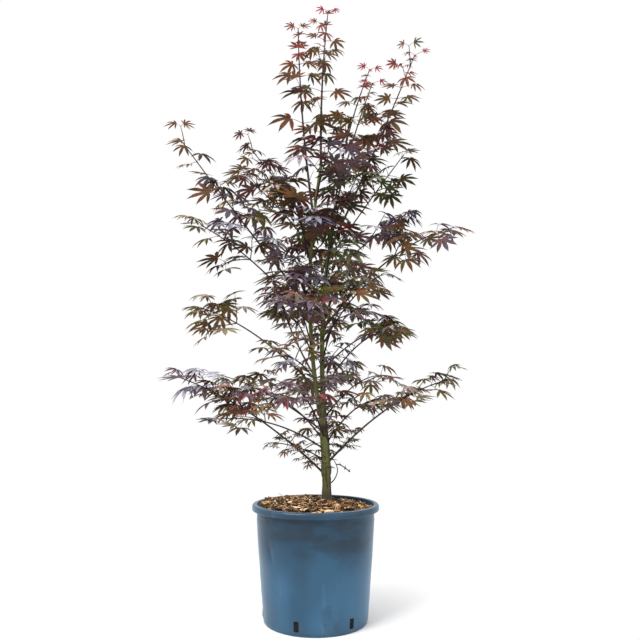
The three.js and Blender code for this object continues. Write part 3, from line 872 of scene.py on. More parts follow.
@dataclass
class Pot:
    """A round tapering nursery pot with a rolled lip, a stepped foot and six drainage slots.

    bow, tuck, warp and shrink are how far its wall bulges, draws in under the lip, goes out of round and
    shrinks at its rim. The wall stays true for calm_foot and calm_lip from its two ends, and cut is the
    reach of the blocks that cut the slots.
    """

    height: float = 275.0
    lip_radius: float = 150.0
    lip_height: float = 14.0
    lip_roll: float = 5.0
    wall_top_radius: float = 140.6
    base_radius: float = 124.0
    foot_height: float = 5.0
    foot_inset: float = 1.5
    wall: float = 2.4
    floor: float = 3.0
    sides: int = 216
    slots: int = 6
    first_slot: float = 250.0
    slot_width: float = 12.0
    slot_height: float = 24.0
    slot_bottom: float = 10.0
    slot_corner: float = 2.5
    uneven: float = 0.35
    dents: tuple[Dent, ...] = (
        Dent(283, 168, 5.5, 30, 2.0, 0.05),
        Dent(222, 176, 3.0, 22, 1.8, -0.1),
        Dent(250, 218, 17, 9, 1.2),
        Dent(300, 196, 13, 16, 1.2, 0.3),
        Dent(232, 120, 9, 34, 1.3, 0.1),
        Dent(30, 150, 12, 40, 1.6),
        Dent(120, 190, 16, 26, 1.4),
        Dent(160, 110, 9, 34, 1.4),
    )
    finish: PotPlastic = PotPlastic()

    wall_rings: int = 90
    inside_rings: int = 24
    corner_points: int = 7
    bow: float = 0.7
    tuck: float = 1.1
    tuck_below: float = 17
    tuck_blend: float = 1.5
    calm_foot: float = 40
    calm_lip: float = 30
    warp_from: float = 180
    warp_over: float = 95
    warp: float = 0.7
    warp_turn: float = 0.6
    shrink: float = 0.9
    wall_from: float = 100
    cut: tuple[float, float] = (112, 136)
    corner_step: int = 18
    crease: float = 38

    def inside(self, height: float) -> float:
        """The pot's inside radius at a height."""
        share = (height - self.floor) / (self.height - self.floor)
        return lerp(self.base_radius, self.wall_top_radius, share) - self.wall

    def slot_axes(self, index: int) -> tuple[Array, Array]:
        """The directions out through a drainage slot and along the wall at it."""
        bearing = self.first_slot + 360 * index / self.slots
        return place(bearing, 1, 0), place(bearing + 90, 1, 0)

    def _corner(
        self, radius: float, height: float, roll: float, start: float, end: float
    ) -> list[tuple[float, float]]:
        """Points round a rounded edge, by its centre, its own radius and two angles in degrees."""
        angles = np.radians(np.linspace(start, end, self.corner_points))
        return [(radius + roll * math.cos(a), height + roll * math.sin(a)) for a in angles]

    def profile(self) -> list[tuple[float, float]]:
        """The pot's section, from the middle of its underside round to the middle of its floor.

        Returns:
            Radii and heights.
        """
        lip_bottom = self.height - self.lip_height
        foot = self.base_radius - self.foot_inset
        step = self.foot_height + self.foot_inset
        small = self.wall / 2
        section = [(40.0, 0.0), (90.0, 0.0), (foot - 3, 0.0)]
        section += self._corner(foot - 1, 1, 1, -90, 0)
        section += [(foot, self.foot_height - 0.6), (foot + 0.3, self.foot_height)]
        for height in np.linspace(step, lip_bottom - 1, self.wall_rings):
            share = (height - step) / (lip_bottom - step)
            bow = self.bow * math.sin(math.pi * share)
            tuck = self.tuck / (1 + math.exp((lip_bottom - self.tuck_below - height) / self.tuck_blend))
            straight = lerp(self.base_radius, self.wall_top_radius - 0.4, share)
            section.append((straight + bow - tuck, height))
        outer = self.lip_radius - self.lip_roll
        section += [(self.wall_top_radius, lip_bottom), (outer - 1, lip_bottom)]
        section += self._corner(outer + self.lip_roll - 2, lip_bottom + 2, 2, -90, 0)
        section += self._corner(outer, self.height - self.lip_roll, self.lip_roll, 0, 90)
        inner = self.inside(self.height)
        section += self._corner(inner + small, self.height - small, small, 90, 180)
        depths = np.linspace(self.height - 6, self.floor + 4, self.inside_rings)
        section += [(self.inside(depth), depth) for depth in depths]
        section += [(self.inside(self.floor) - 3, self.floor), (60.0, self.floor)]
        return section

    def _shape(self) -> Heap:
        """Shapes the pot, with its wall a little uneven, dented and out of round.

        Returns:
            The pot before its slots are cut.
        """
        section = self.profile()
        radius = np.array([r for r, _ in section])[:, None]
        height = np.array([h for _, h in section])[:, None]
        turn = np.linspace(0, 360, self.sides, endpoint=False)[None, :]
        angle = np.radians(turn)
        below_lip = self.height - self.lip_height - height
        window = np.clip(height / self.calm_foot, 0, 1) * np.clip(below_lip / self.calm_lip, 0, 1)
        wave = wander(angle, height, 5, Draws(Seed.POT_WALL, 1), 90) * self.uneven
        pressed = sum(dent.press(turn, height) for dent in self.dents)
        radius = radius + window * (wave - pressed) * (radius > self.wall_from)
        rim = np.clip((height - self.warp_from) / self.warp_over, 0, 1)
        radius = radius + rim * (self.warp * np.cos(2 * angle + self.warp_turn) - self.shrink)
        points = np.stack([radius * np.cos(angle), radius * np.sin(angle), height + 0 * angle], -1)
        heap = Heap()
        heap.add(*closed_stack(points, ([0, 0, 0], [0, 0, self.floor])))
        return heap

    def _cutters(self) -> bpy.types.Object:
        """Makes the blocks that cut the slots.

        Returns:
            Blocks with rounded corners that stand through the wall.
        """
        heap = Heap()
        half, tall, corner = self.slot_width / 2, self.slot_height / 2, self.slot_corner
        outline = []
        for quarter, (x, z) in enumerate(((1, 1), (-1, 1), (-1, -1), (1, -1))):
            for degrees in range(0, 91, self.corner_step):
                angle = math.radians(90 * quarter + degrees)
                across = x * (half - corner) + corner * math.cos(angle)
                outline.append((across, z * (tall - corner) + corner * math.sin(angle)))
        count = len(outline)
        middle = self.slot_bottom + tall
        for index in range(self.slots):
            out, aside = self.slot_axes(index)
            points = [
                out * depth + aside * across + UP * (middle + rise)
                for depth in self.cut
                for across, rise in outline
            ]
            heap.add(np.array(points), ring_faces(2, count), flat_lids(2, count))
        return heap.make("slot_cutters", smooth=False)

    def build(self) -> None:
        """Makes the pot."""
        piece = self._shape().make("pot_shell")
        cutters = self._cutters()
        cut = piece.modifiers.new("slots", "BOOLEAN")
        cut.operation = "DIFFERENCE"
        cut.solver = "EXACT"
        cut.object = cutters
        ready = bpy.context.evaluated_depsgraph_get()
        piece.data = bpy.data.meshes.new_from_object(piece.evaluated_get(ready))
        piece.modifiers.clear()
        bpy.data.objects.remove(cutters)
        piece.data.set_sharp_from_angle(angle=math.radians(self.crease))
        settle(piece, self.finish.make(), ["pot"])


# ------------------------------------------------------------
# Compost and bark chips


@dataclass(frozen=True)
class ChipKind:
    """A kind of chip: its name and colours, how many there are, and their sizes."""

    name: str
    tint: Colour
    dark: Colour
    count: int
    length: tuple[float, float]
    slim: tuple[float, float]


@dataclass
class Compost:
    """The filling of the pot: a domed body of compost under loose bark chips."""

    pot: Pot
    edge_height: float = 269.0
    crown: float = 7.0
    heap: float = 6.5
    ripple: float = 1.6
    clear: float = 0.6
    plug_out: float = 1.6
    trunk_spot: tuple[float, float] = (27.0, 42.0)
    trunk_room: float = 13.0
    kinds: tuple[ChipKind, ...] = (
        ChipKind("umber", paint(136, 100, 62), paint(70, 48, 34), 320, (9, 27), (0.34, 0.66)),
        ChipKind("dark", paint(76, 58, 44), paint(28, 21, 17), 400, (8, 22), (0.34, 0.7)),
        ChipKind("rust", paint(186, 122, 70), paint(116, 72, 40), 230, (9, 27), (0.3, 0.6)),
        ChipKind("tan", paint(222, 180, 122), paint(152, 114, 72), 370, (8, 26), (0.26, 0.56)),
        ChipKind("pale", paint(246, 230, 204), paint(214, 190, 152), 150, (6, 20), (0.16, 0.42)),
    )

    sides: int = 128
    wall_rings: int = 12
    top_rings: int = 44
    shoulder: float = 9
    under_chips: float = 2.5
    crumbs: float = 1.4
    calm_middle: float = 30
    plug_rings: int = 12
    plug_sides: int = 28
    plug_depth: float = 5
    chip_corners: int = 7
    chip_levels: Rows = ((-1.0, 0.82), (0.15, 1.0), (1.0, 0.74))
    above_rim: float = 6
    large_chips: Rows = (
        (30, -116, 27, 0.36, 4), (-24, -100, 25, 0.5, 28),
        (-44, -84, 24, 0.44, 160), (-60, -30, 22, 0.5, 80),
    )
    straws: Rows = (
        (-62, 66, 40, 12, 5), (-74, 30, 34, 120, 9), (34, -116, 24, 172, 2), (70, 20, 30, 60, 3),
    )

    def surface(self, x: Array, y: Array) -> Array:
        """The heap's surface.

        Args:
            x: How far right of the pot's axis.
            y: How far back of it.

        Returns:
            Heights at those places.
        """
        share = np.minimum(1, np.hypot(x, y) / self.pot.wall_top_radius)
        wave = np.sin(x * 0.11 + 1.3) * np.cos(y * 0.13) + np.sin((x + y) * 0.07)
        slope = self.heap * x / self.pot.wall_top_radius
        return self.edge_height + self.crown * (1 - share * share) - slope + self.ripple * wave

    def _body(self) -> None:
        """The compost itself, and what shows of it in the slots."""
        angle = angles_round(self.sides)[None, :]
        low = self.pot.floor + self.clear
        levels = np.linspace(low, self.edge_height - self.shoulder, self.wall_rings)
        radius = np.array([self.pot.inside(level) - self.clear for level in levels])[:, None] + 0 * angle
        height = levels[:, None] + 0 * angle
        reach = self.pot.inside(self.edge_height) - 2 * self.clear
        top = np.linspace(1, 0.01, self.top_rings)[:, None] * reach + 0 * angle
        x, y = top * np.cos(angle), top * np.sin(angle)
        crumbs = wander(angle, top, 24, Draws(Seed.CRUMBS, 2), 5) * self.crumbs
        rise = self.surface(x, y) - self.under_chips + crumbs * np.clip(top / self.calm_middle, 0, 1)
        radius = np.concatenate([radius, top])
        height = np.concatenate([height, rise])
        points = np.stack([radius * np.cos(angle), radius * np.sin(angle), height], -1)
        heap = Heap()
        heap.add(*closed_stack(points, ([0, 0, low], [0, 0, float(height[-1].mean())])))
        soil = Soil("moist_compost", paint(30, 22, 17), paint(84, 62, 46), paint(138, 112, 84))
        settle(heap.make("compost_body"), soil.make(), ["compost"])
        plugs = Heap()
        for index in range(self.pot.slots):
            self._plug(plugs, index)
        rooty = Soil("rooty_compost", paint(12, 10, 9), paint(34, 28, 23), paint(74, 62, 50))
        settle(plugs.make("slot_plugs"), rooty.make(), ["compost"])

    def _plug(self, heap: Heap, index: int) -> None:
        """A lump of rooted compost in one drainage slot.

        Args:
            heap: Where it goes.
            index: The slot's number.
        """
        draw = Draws(Seed.PLUG, index)
        out, aside = self.pot.slot_axes(index)
        middle = self.pot.slot_bottom + self.pot.slot_height / 2
        wall = self.pot.inside(middle) + self.pot.wall
        half, tall = self.pot.slot_width / 2 - 0.5, self.pot.slot_height / 2 - 0.5
        deep = self.plug_depth
        share = np.linspace(-1, 1, self.plug_rings)[:, None]
        angle = angles_round(self.plug_sides)[None, :]
        ring = np.sqrt(np.clip(1 - np.abs(share) ** 5, 0.02, 1))
        square = 1 / np.maximum(np.abs(np.cos(angle)), np.abs(np.sin(angle))) ** 0.72
        bulge = wander(angle, share * 20, 5, draw, 9) * 0.7
        out_by = np.cos(angle) * ring * square * deep + bulge * (np.cos(angle) > 0.2)
        across = np.sin(angle) * ring * square * half
        out_by = np.minimum(out_by, deep + bulge)
        centre = wall - deep + draw(-0.4, self.plug_out - 0.6)
        points = (
            out * (centre + out_by)[..., None]
            + aside * np.clip(across, -half, half)[..., None]
            + UP * (middle + share * tall + 0 * angle)[..., None]
        )
        heap.add(*closed_stack(points, (points[0].mean(0), points[-1].mean(0))))

    def _chip(self, draw: Draws, length: float, slim: float) -> tuple[Array, Array, Array]:
        """One chip, lying flat at the origin.

        Args:
            draw: Where its shape comes from.
            length: Its length.
            slim: Its width as a share of that.

        Returns:
            Its points, quads and triangles.
        """
        corners = self.chip_corners
        thick = length * draw(0.09, 0.2)
        twist = draw(-0.5, 0.5)
        bend = draw(-0.14, 0.14) * length
        points = []
        for level, inset in self.chip_levels:
            for k in range(corners):
                angle = 2 * math.pi * (k + 0.2 * math.sin(7 * k + length)) / corners
                x = math.copysign(abs(math.cos(angle)) ** 0.7, math.cos(angle)) * length / 2
                y = math.copysign(abs(math.sin(angle)) ** 0.8, math.sin(angle)) * length * slim / 2
                reach = inset * draw(0.86, 1.08)
                lift = thick / 2 * level + bend * (x / length * 2) ** 2 + twist * y * x / length
                points.append((x * reach, y * reach, lift))
        rings = len(self.chip_levels)
        return np.array(points), ring_faces(rings, corners), flat_lids(rings, corners)

    @staticmethod
    def _spun(points: Array, *turns: tuple[Array, float]) -> Array:
        """Points turned about the origin.

        Args:
            points: The points.
            turns: An axis and degrees for each turn, in order.

        Returns:
            The turned points.
        """
        for axis, degrees in turns:
            points = points @ np.array([turned(side, axis, degrees) for side in AXES])
        return points

    def _scatter(self, kind: ChipKind, number: int) -> None:
        """Strews the chips of one kind over the surface.

        Args:
            kind: What they are.
            number: The kind's number.
        """
        heap = Heap()
        limit = self.pot.inside(self.edge_height) - 1.5
        for index in range(kind.count):
            draw = Draws(Seed.CHIP, number, index)
            length = lerp(*kind.length, draw(0, 1) ** 1.6)
            slim = draw(*kind.slim)
            reach = (limit - length * 0.42) * math.sqrt(draw(0, 1))
            bearing = draw(0, 360)
            x, y, _ = place(bearing, reach, 0)
            room = math.hypot(x - self.trunk_spot[0], y - self.trunk_spot[1])
            if room < self.trunk_room + length * 0.35:
                continue
            points, quads, lids = self._chip(draw, length, slim)
            spin, pitch, roll = draw(0, 360), draw(-30, 30), draw(-34, 34)
            points = self._spun(points, (AXES[0], roll), (AXES[1], pitch), (UP, spin))
            lift = self.surface(x, y) + draw(-2.0, 4.2)
            lift = min(lift, self.pot.height + self.above_rim - float(points[:, 2].max()))
            heap.add(points + np.array([x, y, lift]), quads, lids)
        wood = ChipWood(f"chip_{kind.name}", kind.tint, kind.dark)
        settle(heap.make(f"bark_chips_{kind.name}", smooth=False), wood.make())

    def _large(self) -> None:
        """A few large pale chips that lie on top."""
        heap = Heap()
        for number, (x, y, length, slim, spin) in enumerate(self.large_chips):
            points, quads, lids = self._chip(Draws(Seed.LARGE_CHIP, number), length, slim)
            points = self._spun(points, (UP, spin))
            heap.add(points + np.array([x, y, float(self.surface(x, y)) + 4.5]), quads, lids)
        wood = ChipWood("chip_cut", paint(238, 214, 180), paint(206, 170, 130))
        settle(heap.make("bark_chips_cut", smooth=False), wood.make())

    def _straws(self) -> None:
        """A few dry stalks and slivers that lie on the chips."""
        heap = Heap()
        for number, (x, y, length, bearing, rise) in enumerate(self.straws):
            draw = Draws(Seed.STRAW, number)
            start = np.array([x, y, float(self.surface(x, y)) + 2.5])
            end = start + place(bearing, length, rise)
            line = Curve.bent(start, end, (0, 0, draw(0.4, 2.0))).points(0, 1, 7)
            heap.add(*tube(line, np.linspace(1.2, 0.6, 7), 5))
        wood = ChipWood("dry_stalk", paint(222, 196, 150), paint(170, 134, 92))
        settle(heap.make("dry_stalks"), wood.make())

    def build(self) -> None:
        """Makes the compost and its chips."""
        self._body()
        for number, kind in enumerate(self.kinds):
            self._scatter(kind, number)
        self._large()
        self._straws()


# ------------------------------------------------------------
# Limbs


@dataclass(frozen=True)
class Limb:
    """A limb that bears leaves.

    foot is the height at which it leaves its parent, tip its end as a bearing, a reach and a height,
    and bend how far its middle lies off the straight line. Leaves begin at the share leafy. twig is
    the length of its side twigs and leaf the size of its leaves. bough says whether its bare part is a
    solid of its own, and bush how readily side twigs grow beside its pairs.
    """

    name: str
    parent: str
    foot: float
    tip: tuple[float, float, float]
    bend: tuple[float, float, float]
    girth: float
    leafy: float
    pairs: int
    twig: float
    leaf: float
    bough: bool = False
    bush: float = 1.0

    @property
    def mass(self) -> str:
        """The name of the solid that holds its leaves."""
        return f"{self.name}_leaves"

    @property
    def leads(self) -> bool:
        """Whether it is one of the leaders."""
        return self.name.endswith("leader")


LIMBS = (
    # leaders
    Limb("top_leader", "left_stem", 1074, (33, 36, 1454), (-6, 0, 0), 3.2, 0.08, 7, 0, 60),
    Limb("left_leader", "left_stem", 950, (225, 57, 1376), (-7, 0, 0), 3.2, 0.26, 6, 0, 68, True),
    Limb("inner_leader", "right_stem", 960, (24, 146, 1334), (-14, 0, 0), 2.8, 0.2, 5, 0, 64),
    Limb("front_leader", "right_stem", 950, (345, 136, 1252), (-8, 0, 0), 2.6, 0.24, 4, 0, 62),
    Limb("right_leader", "right_stem", 880, (9, 244, 1358), (4, 0, 0), 3.1, 0.34, 6, 0, 66, True),
    # upper tier
    Limb("left_high", "left_stem", 922, (156, 176, 1142), (0, 0, 6), 1.7, 0.34, 3, 32, 50),
    Limb("left_upper", "left_stem", 880, (200, 176, 1030), (0, 0, 12), 1.9, 0.22, 4, 56, 58),
    Limb("left_long", "left_stem", 742, (178, 322, 1140), (0, 0, -6), 2.8, 0.4, 6, 40, 66, True),
    Limb("crown_front", "left_stem", 985, (286, 110, 1075), (0, 0, 8), 1.7, 0.2, 3, 56, 74),
    Limb("crown_back", "right_stem", 940, (64, 158, 1090), (0, 0, 6), 1.7, 0.24, 3, 36, 56),
    Limb("right_high", "right_stem", 858, (352, 208, 1090), (0, 0, 4), 1.9, 0.46, 3, 30, 50),
    Limb("crown_right", "right_stem", 918, (352, 118, 1085), (0, 0, 4), 1.7, 0.2, 3, 48, 54),
    Limb("right_upper", "right_stem", 800, (14, 222, 962), (0, 0, 18), 2.2, 0.36, 3, 62, 64, True),
    Limb("front_high", "left_stem", 840, (246, 150, 985), (0, 0, 16), 1.9, 0.2, 4, 66, 78),
    Limb("front_upper", "right_stem", 800, (288, 162, 930), (0, 0, 18), 1.9, 0.2, 4, 66, 78),
    Limb("back_upper", "left_stem", 780, (118, 222, 950), (0, 0, 20), 2.2, 0.34, 3, 64, 64, True),
    # middle tier
    Limb("left_shoulder", "left_stem", 700, (189, 268, 922), (0, 0, 24), 2.4, 0.42, 4, 50, 62, True),
    Limb("left_inner", "left_stem", 575, (158, 122, 862), (-12, 0, -4), 2.3, 0.4, 4, 64, 73, True),
    Limb("left_middle", "left_stem", 545, (168, 292, 748), (0, 0, 28), 2.6, 0.58, 4, 50, 65, True),
    Limb("right_long", "right_stem", 690, (5, 336, 936), (0, 0, 44), 2.7, 0.44, 5, 50, 62, True),
    Limb("right_drop", "right_stem", 650, (334, 165, 800), (0, 0, 26), 2, 0.32, 3, 56, 58, bush=0.2),
    Limb("right_middle", "right_stem", 540, (344, 176, 680), (0, 0, 32), 2.2, 0.48, 3, 54, 62, True, 0.5),
    Limb("right_shoulder", "right_stem", 590, (22, 225, 696), (0, 0, 30), 2, 0.4, 3, 54, 60, bush=0.4),
    Limb("front_middle", "left_stem", 640, (250, 186, 770), (0, 0, 24), 2, 0.24, 4, 66, 68, bush=0.3),
    Limb("front_inner", "right_stem", 610, (292, 190, 742), (0, 0, 24), 1.9, 0.26, 3, 62, 66, bush=0.2),
    Limb("front_lean", "left_stem", 566, (232, 150, 612), (0, 0, 22), 1.8, 0.26, 3, 56, 58, bush=0.1),
    Limb("back_middle", "right_stem", 700, (66, 236, 870), (0, 0, 24), 2.2, 0.36, 3, 64, 64, True),
    Limb("back_inner", "left_stem", 620, (110, 222, 750), (0, 0, 24), 2, 0.3, 3, 64, 64, bush=0.3),
    # lower tier
    Limb("left_low", "trunk", 335, (183, 320, 572), (0, 0, 28), 2.7, 0.42, 7, 62, 71, True, bush=2),
    Limb("left_skirt", "trunk", 398, (206, 242, 476), (0, 0, 26), 2.2, 0.38, 3, 50, 54, True, bush=0.1),
    Limb("left_back", "trunk", 440, (155, 256, 580), (0, 0, 18), 2.3, 0.36, 3, 60, 60),
    Limb("right_low", "trunk", 362, (3, 318, 568), (0, 0, 32), 2.7, 0.42, 5, 52, 58, True, bush=0.6),
    Limb("right_skirt", "trunk", 408, (324, 180, 520), (0, 0, 28), 2.2, 0.34, 3, 50, 54, bush=0),
    Limb("front_low", "trunk", 425, (256, 222, 545), (0, 0, 28), 2.2, 0.28, 3, 66, 64),
    Limb("back_low", "trunk", 440, (84, 248, 585), (0, 0, 30), 2.3, 0.36, 3, 66, 64, True),
    Limb("back_left", "trunk", 415, (124, 232, 525), (0, 0, 28), 2.2, 0.34, 3, 60, 62),
    Limb("back_right", "trunk", 470, (44, 238, 585), (0, 0, 26), 2, 0.34, 3, 60, 62, bush=0.4),
    Limb("foot_spray", "trunk", 372, (198, 100, 420), (0, 0, 8), 1.7, 0.3, 3, 0, 30),
)


@dataclass(frozen=True)
class Line:
    """A limb's curve with its girth from foot to tip."""

    curve: Curve
    girth: tuple[tuple[float, float], ...]

    def radius(self, share: Array) -> Array:
        """Radii at shares of its length."""
        return np.interp(share, [at for at, _ in self.girth], [girth for _, girth in self.girth])


class Skeleton:
    """The lines of the trunk, the stems and the limbs, by name."""

    TRUNK_FOOT = (27.0, 42.0, 268.0)
    TRUNK_FORK = (12.0, 27.0, 526.0)
    TRUNK_GIRTH = (
        (0.0, 15.0), (0.03, 13.2), (0.06, 12.2), (0.2, 10.7), (0.25, 10.4),
        (0.3, 11.6), (0.45, 11.0), (0.8, 9.6), (1.0, 10.4),
    )
    TIP_GIRTH = 1.1

    def __init__(self) -> None:
        """Works out the lines."""
        self.lines: dict[str, Line] = {}
        trunk = Curve.bent(np.array(self.TRUNK_FOOT), np.array(self.TRUNK_FORK), (4, 0, 0))
        self.lines["trunk"] = Line(trunk, self.TRUNK_GIRTH)
        self._stem("left_stem", (9, 22, 495), (0, 14, 1080), (-25, -4, 0), 5.4, 3.1)
        self._stem("right_stem", (20, 32, 495), (46, 69, 985), (-15, 4, 0), 6.4, 3.4)
        for limb in LIMBS:
            parent = self.lines[limb.parent].curve
            start = parent.point(parent.share_at_height(limb.foot))
            curve = Curve.bent(start, place(*limb.tip), limb.bend)
            self.lines[limb.name] = Line(curve, ((0.0, limb.girth), (1.0, self.TIP_GIRTH)))

    def _stem(self, name: str, start: tuple, tip: tuple, bend: tuple, girth: float, end: float) -> None:
        """Adds a stem, from a point in the trunk to a bearing, reach and height, with its two radii."""
        curve = Curve.bent(np.array(start, float), place(*tip), bend)
        self.lines[name] = Line(curve, ((0.0, girth), (1.0, end)))

    def __getitem__(self, name: str) -> Line:
        """The line of that name."""
        return self.lines[name]


@dataclass
class Timber:
    """The trunk, the stems, the boughs and the leafy shoots, with the relief of their bark."""

    skeleton: Skeleton
    # the trunk's last number paints shade on its right side
    trunk_bark: Bark = Bark(
        "trunk_bark", paint(104, 110, 62), paint(56, 38, 26), paint(74, 68, 56), 0.285, 0.03, 0.26, 0.75
    )
    left_bark: Bark = Bark(
        "left_stem_bark", paint(98, 104, 48), paint(64, 52, 34), paint(84, 78, 46), 0.5, 0.3
    )
    right_bark: Bark = Bark(
        "right_stem_bark", paint(104, 120, 56), paint(72, 70, 40), paint(86, 84, 50), 0.5, 0.2
    )
    bough_bark: Bark = Bark(
        "bough_bark", paint(72, 62, 48), paint(44, 34, 30), paint(62, 52, 40), 0.4, 0.2, 0.2
    )
    shoot_bark: Bark = Bark(
        "shoot_bark", paint(44, 30, 38), paint(26, 16, 22), paint(36, 26, 28), 0.4, 0.4, 0.08
    )
    dead_bark: Bark = Bark(
        "dead_bark", paint(62, 52, 48), paint(34, 28, 28), paint(54, 46, 42), 0.2, 0.1, 0.1
    )

    buds: int = 10
    knot_gain: float = 0.16
    knot_reach: float = 2.6
    collar: float = 0.45
    collar_reach: float = 7
    blunt_end: float = 0.55
    trunk_collars: tuple[float, ...] = (335, 362, 398, 408, 415, 425, 440, 470)
    trunk_sides: int = 56
    trunk_crotch: Rows = ((0.992, 0.94), (1.0, 0.72), (1.004, 0.3))
    graft: float = 72
    graft_slant: float = 7
    graft_turn: float = 0.8
    arch: Rows = (
        (33, 42, 313), (46, 39, 327), (53, 37, 345), (51, 36, 360), (43, 38, 375), (32, 41, 389),
    )
    arm: Rows = ((50, 37, 363), (60, 35, 362), (71, 31, 355), (83, 27, 346))
    arm_knobs: Rows = ((0.34, 0.5), (0.7, 1.1), (0.95, 1.0))
    arm_stubs: Rows = (
        (0.34, 250, 3, 6, 0.9), (0.7, 80, 4, 6, 1.0), (0.7, 200, 2, -5, 0.9), (0.95, 40, 5, 3, 1.0),
    )
    bough_stubs: int = 7
    stub_girths: tuple[float, ...] = (1.1, 0.9, 0.85, 0.9, 0.7)

    def rod(
        self,
        heap: Heap,
        name: str,
        low: float,
        high: float,
        sides: int,
        step: float,
        rough: float,
        spots: Iterable[float] = (),
        collar: float = 0.0,
    ) -> None:
        """Adds a stretch of a limb.

        Args:
            heap: Where it goes.
            name: The limb.
            low: The share at which it starts.
            high: The share at which it ends.
            sides: Points round it.
            step: Distance between its rings.
            rough: Height of the bark's relief.
            spots: Shares at which it swells.
            collar: How much thicker it is at its start.
        """
        line = self.skeleton[name]
        span = float(np.linalg.norm(np.diff(line.curve.points(0, 1, 40), axis=0), axis=1).sum())
        count = max(4, int(span * (high - low) / step) + 1)
        shares = np.linspace(low, high, count)
        points = np.array([line.curve.point(share) for share in shares])
        radii = line.radius(shares)
        if collar:
            radii = radii * (1 + collar * np.exp(-(shares - low) * span / self.collar_reach))
        radii[-1] *= self.blunt_end
        seed = Draws(Seed.ROD, len(name), int(span))
        gain = self.knot_gain * float(radii.mean())
        knots = [(spot - low) * span for spot in spots]

        def relief(angle: Array, along: Array) -> Array:
            """Adds up the bark's ridges and the knots.

            Args:
                angle: Angles about the rod.
                along: Distances along it.

            Returns:
                What is added to the radius.
            """
            total = rough * wander(angle, along, 7, seed, 16)
            for knot in knots:
                total = total + gain * hump(along, knot, self.knot_reach)
            return total

        heap.add(*tube(points, radii, sides, relief))

    def _trunk(self) -> None:
        """The trunk, with its flare, the seam of the graft and the crotch where it forks."""
        heap = Heap()
        line = self.skeleton["trunk"]
        crotch = np.array(self.trunk_crotch)
        shares = np.concatenate([np.linspace(-0.03, 0.98, 150), crotch[:, 0]])
        points = np.array([line.curve.point(share) for share in shares])
        radii = line.radius(np.clip(shares, 0, 1))
        radii[-len(crotch) :] *= crotch[:, 1]
        broad, fine = Draws(Seed.TRUNK, 7), Draws(Seed.TRUNK, 8)
        collars = [foot - self.skeleton.TRUNK_FOOT[2] for foot in self.trunk_collars]

        def relief(angle: Array, along: Array) -> Array:
            """Adds up the root flare's flutes, ridges, the slanting graft seam and bumps at the limbs.

            Args:
                angle: Angles about the trunk.
                along: Distances along it.

            Returns:
                What is added to the radius.
            """
            flare = np.exp(-along / 16) * 1.5 * np.cos(3 * angle + 0.7)
            ridges = 0.55 * wander(angle, along, 6, broad, 34)
            grain = 0.22 * wander(angle, along, 15, fine, 9)
            seam_at = self.graft + self.graft_slant * np.cos(angle + self.graft_turn)
            seam = -1.1 * hump(along, seam_at, 2.6)
            bulge = 0.9 * hump(along, seam_at + 14, 12)
            total = flare + ridges + grain + seam + bulge
            for number, spot in enumerate(collars):
                lump = hump(along, spot, self.collar_reach) * (0.5 + 0.5 * np.cos(angle - 2.4 * number))
                total = total + 0.8 * lump
            return total

        heap.add(*tube(points, radii, self.trunk_sides, relief))
        settle(heap.make("trunk_wood"), self.trunk_bark.make(), ["trunk"])

    def _joined(self, piece_name: str, bark: Bark, limbs: list[tuple], nodes: list[str]) -> None:
        """Makes several stretches into one piece.

        Args:
            piece_name: The piece's name.
            bark: Its bark.
            limbs: For each stretch, its limb, its shares, and the rest that rod() takes.
            nodes: Names of the solids that the piece stands for.
        """
        heap = Heap()
        for row in limbs:
            self.rod(heap, *row)
        settle(heap.make(piece_name), bark.make(), nodes)

    def _dead(self) -> None:
        """The dead twig that arches off the trunk, with its knobbed arm and its snapped side shoots."""
        heap = Heap()
        arch = threaded(self.arch, 34)
        heap.add(*tube(arch, np.linspace(1.5, 0.8, len(arch)), 9))
        arm = threaded(self.arm, 26)
        along = np.linspace(0, 1, len(arm))
        knobs = sum(gain * hump(along, spot, 0.035) for spot, gain in self.arm_knobs)
        heap.add(*tube(arm, np.linspace(1.4, 1.2, len(arm)) + knobs, 9))
        for share, bearing, length, rise, girth in self.arm_stubs:
            start = arm[int(share * (len(arm) - 1))]
            side = Curve.bent(start, start + place(bearing, length, rise), (0, 0, 1.0)).points(0, 1, 6)
            heap.add(*tube(side, np.linspace(girth, 0.6 * girth, 6), 7))
        settle(heap.make("dead_wood"), self.dead_bark.make(), ["dead_twig"])

    def _stubs(self) -> None:
        """Short bare side shoots and buds on the boughs."""
        heap = Heap()
        for number, limb in enumerate(LIMBS):
            if not limb.bough:
                continue
            line = self.skeleton[limb.name]
            for index in range(self.bough_stubs):
                draw = Draws(Seed.STUB, number, index)
                share = lerp(0.08, limb.leafy, draw(0, 1))
                start = line.curve.point(share)
                long = draw(0, 1) < 0.35
                reach = draw(14, 30) if long else draw(2, 5)
                out = place(draw(0, 360), draw(0.2, 0.8), 1) if long else place(draw(0, 360), 1, 0.5)
                end = start + unit(out) * (reach + float(line.radius(share)))
                girth = 0.7 if long else 1.0
                side = Curve.bent(start, end, (draw(-1, 1), draw(-1, 1), 0)).points(0, 1, 5)
                heap.add(*tube(side, np.array(self.stub_girths) * girth, 6))
        settle(heap.make("bough_stubs"), self.bough_bark.make())

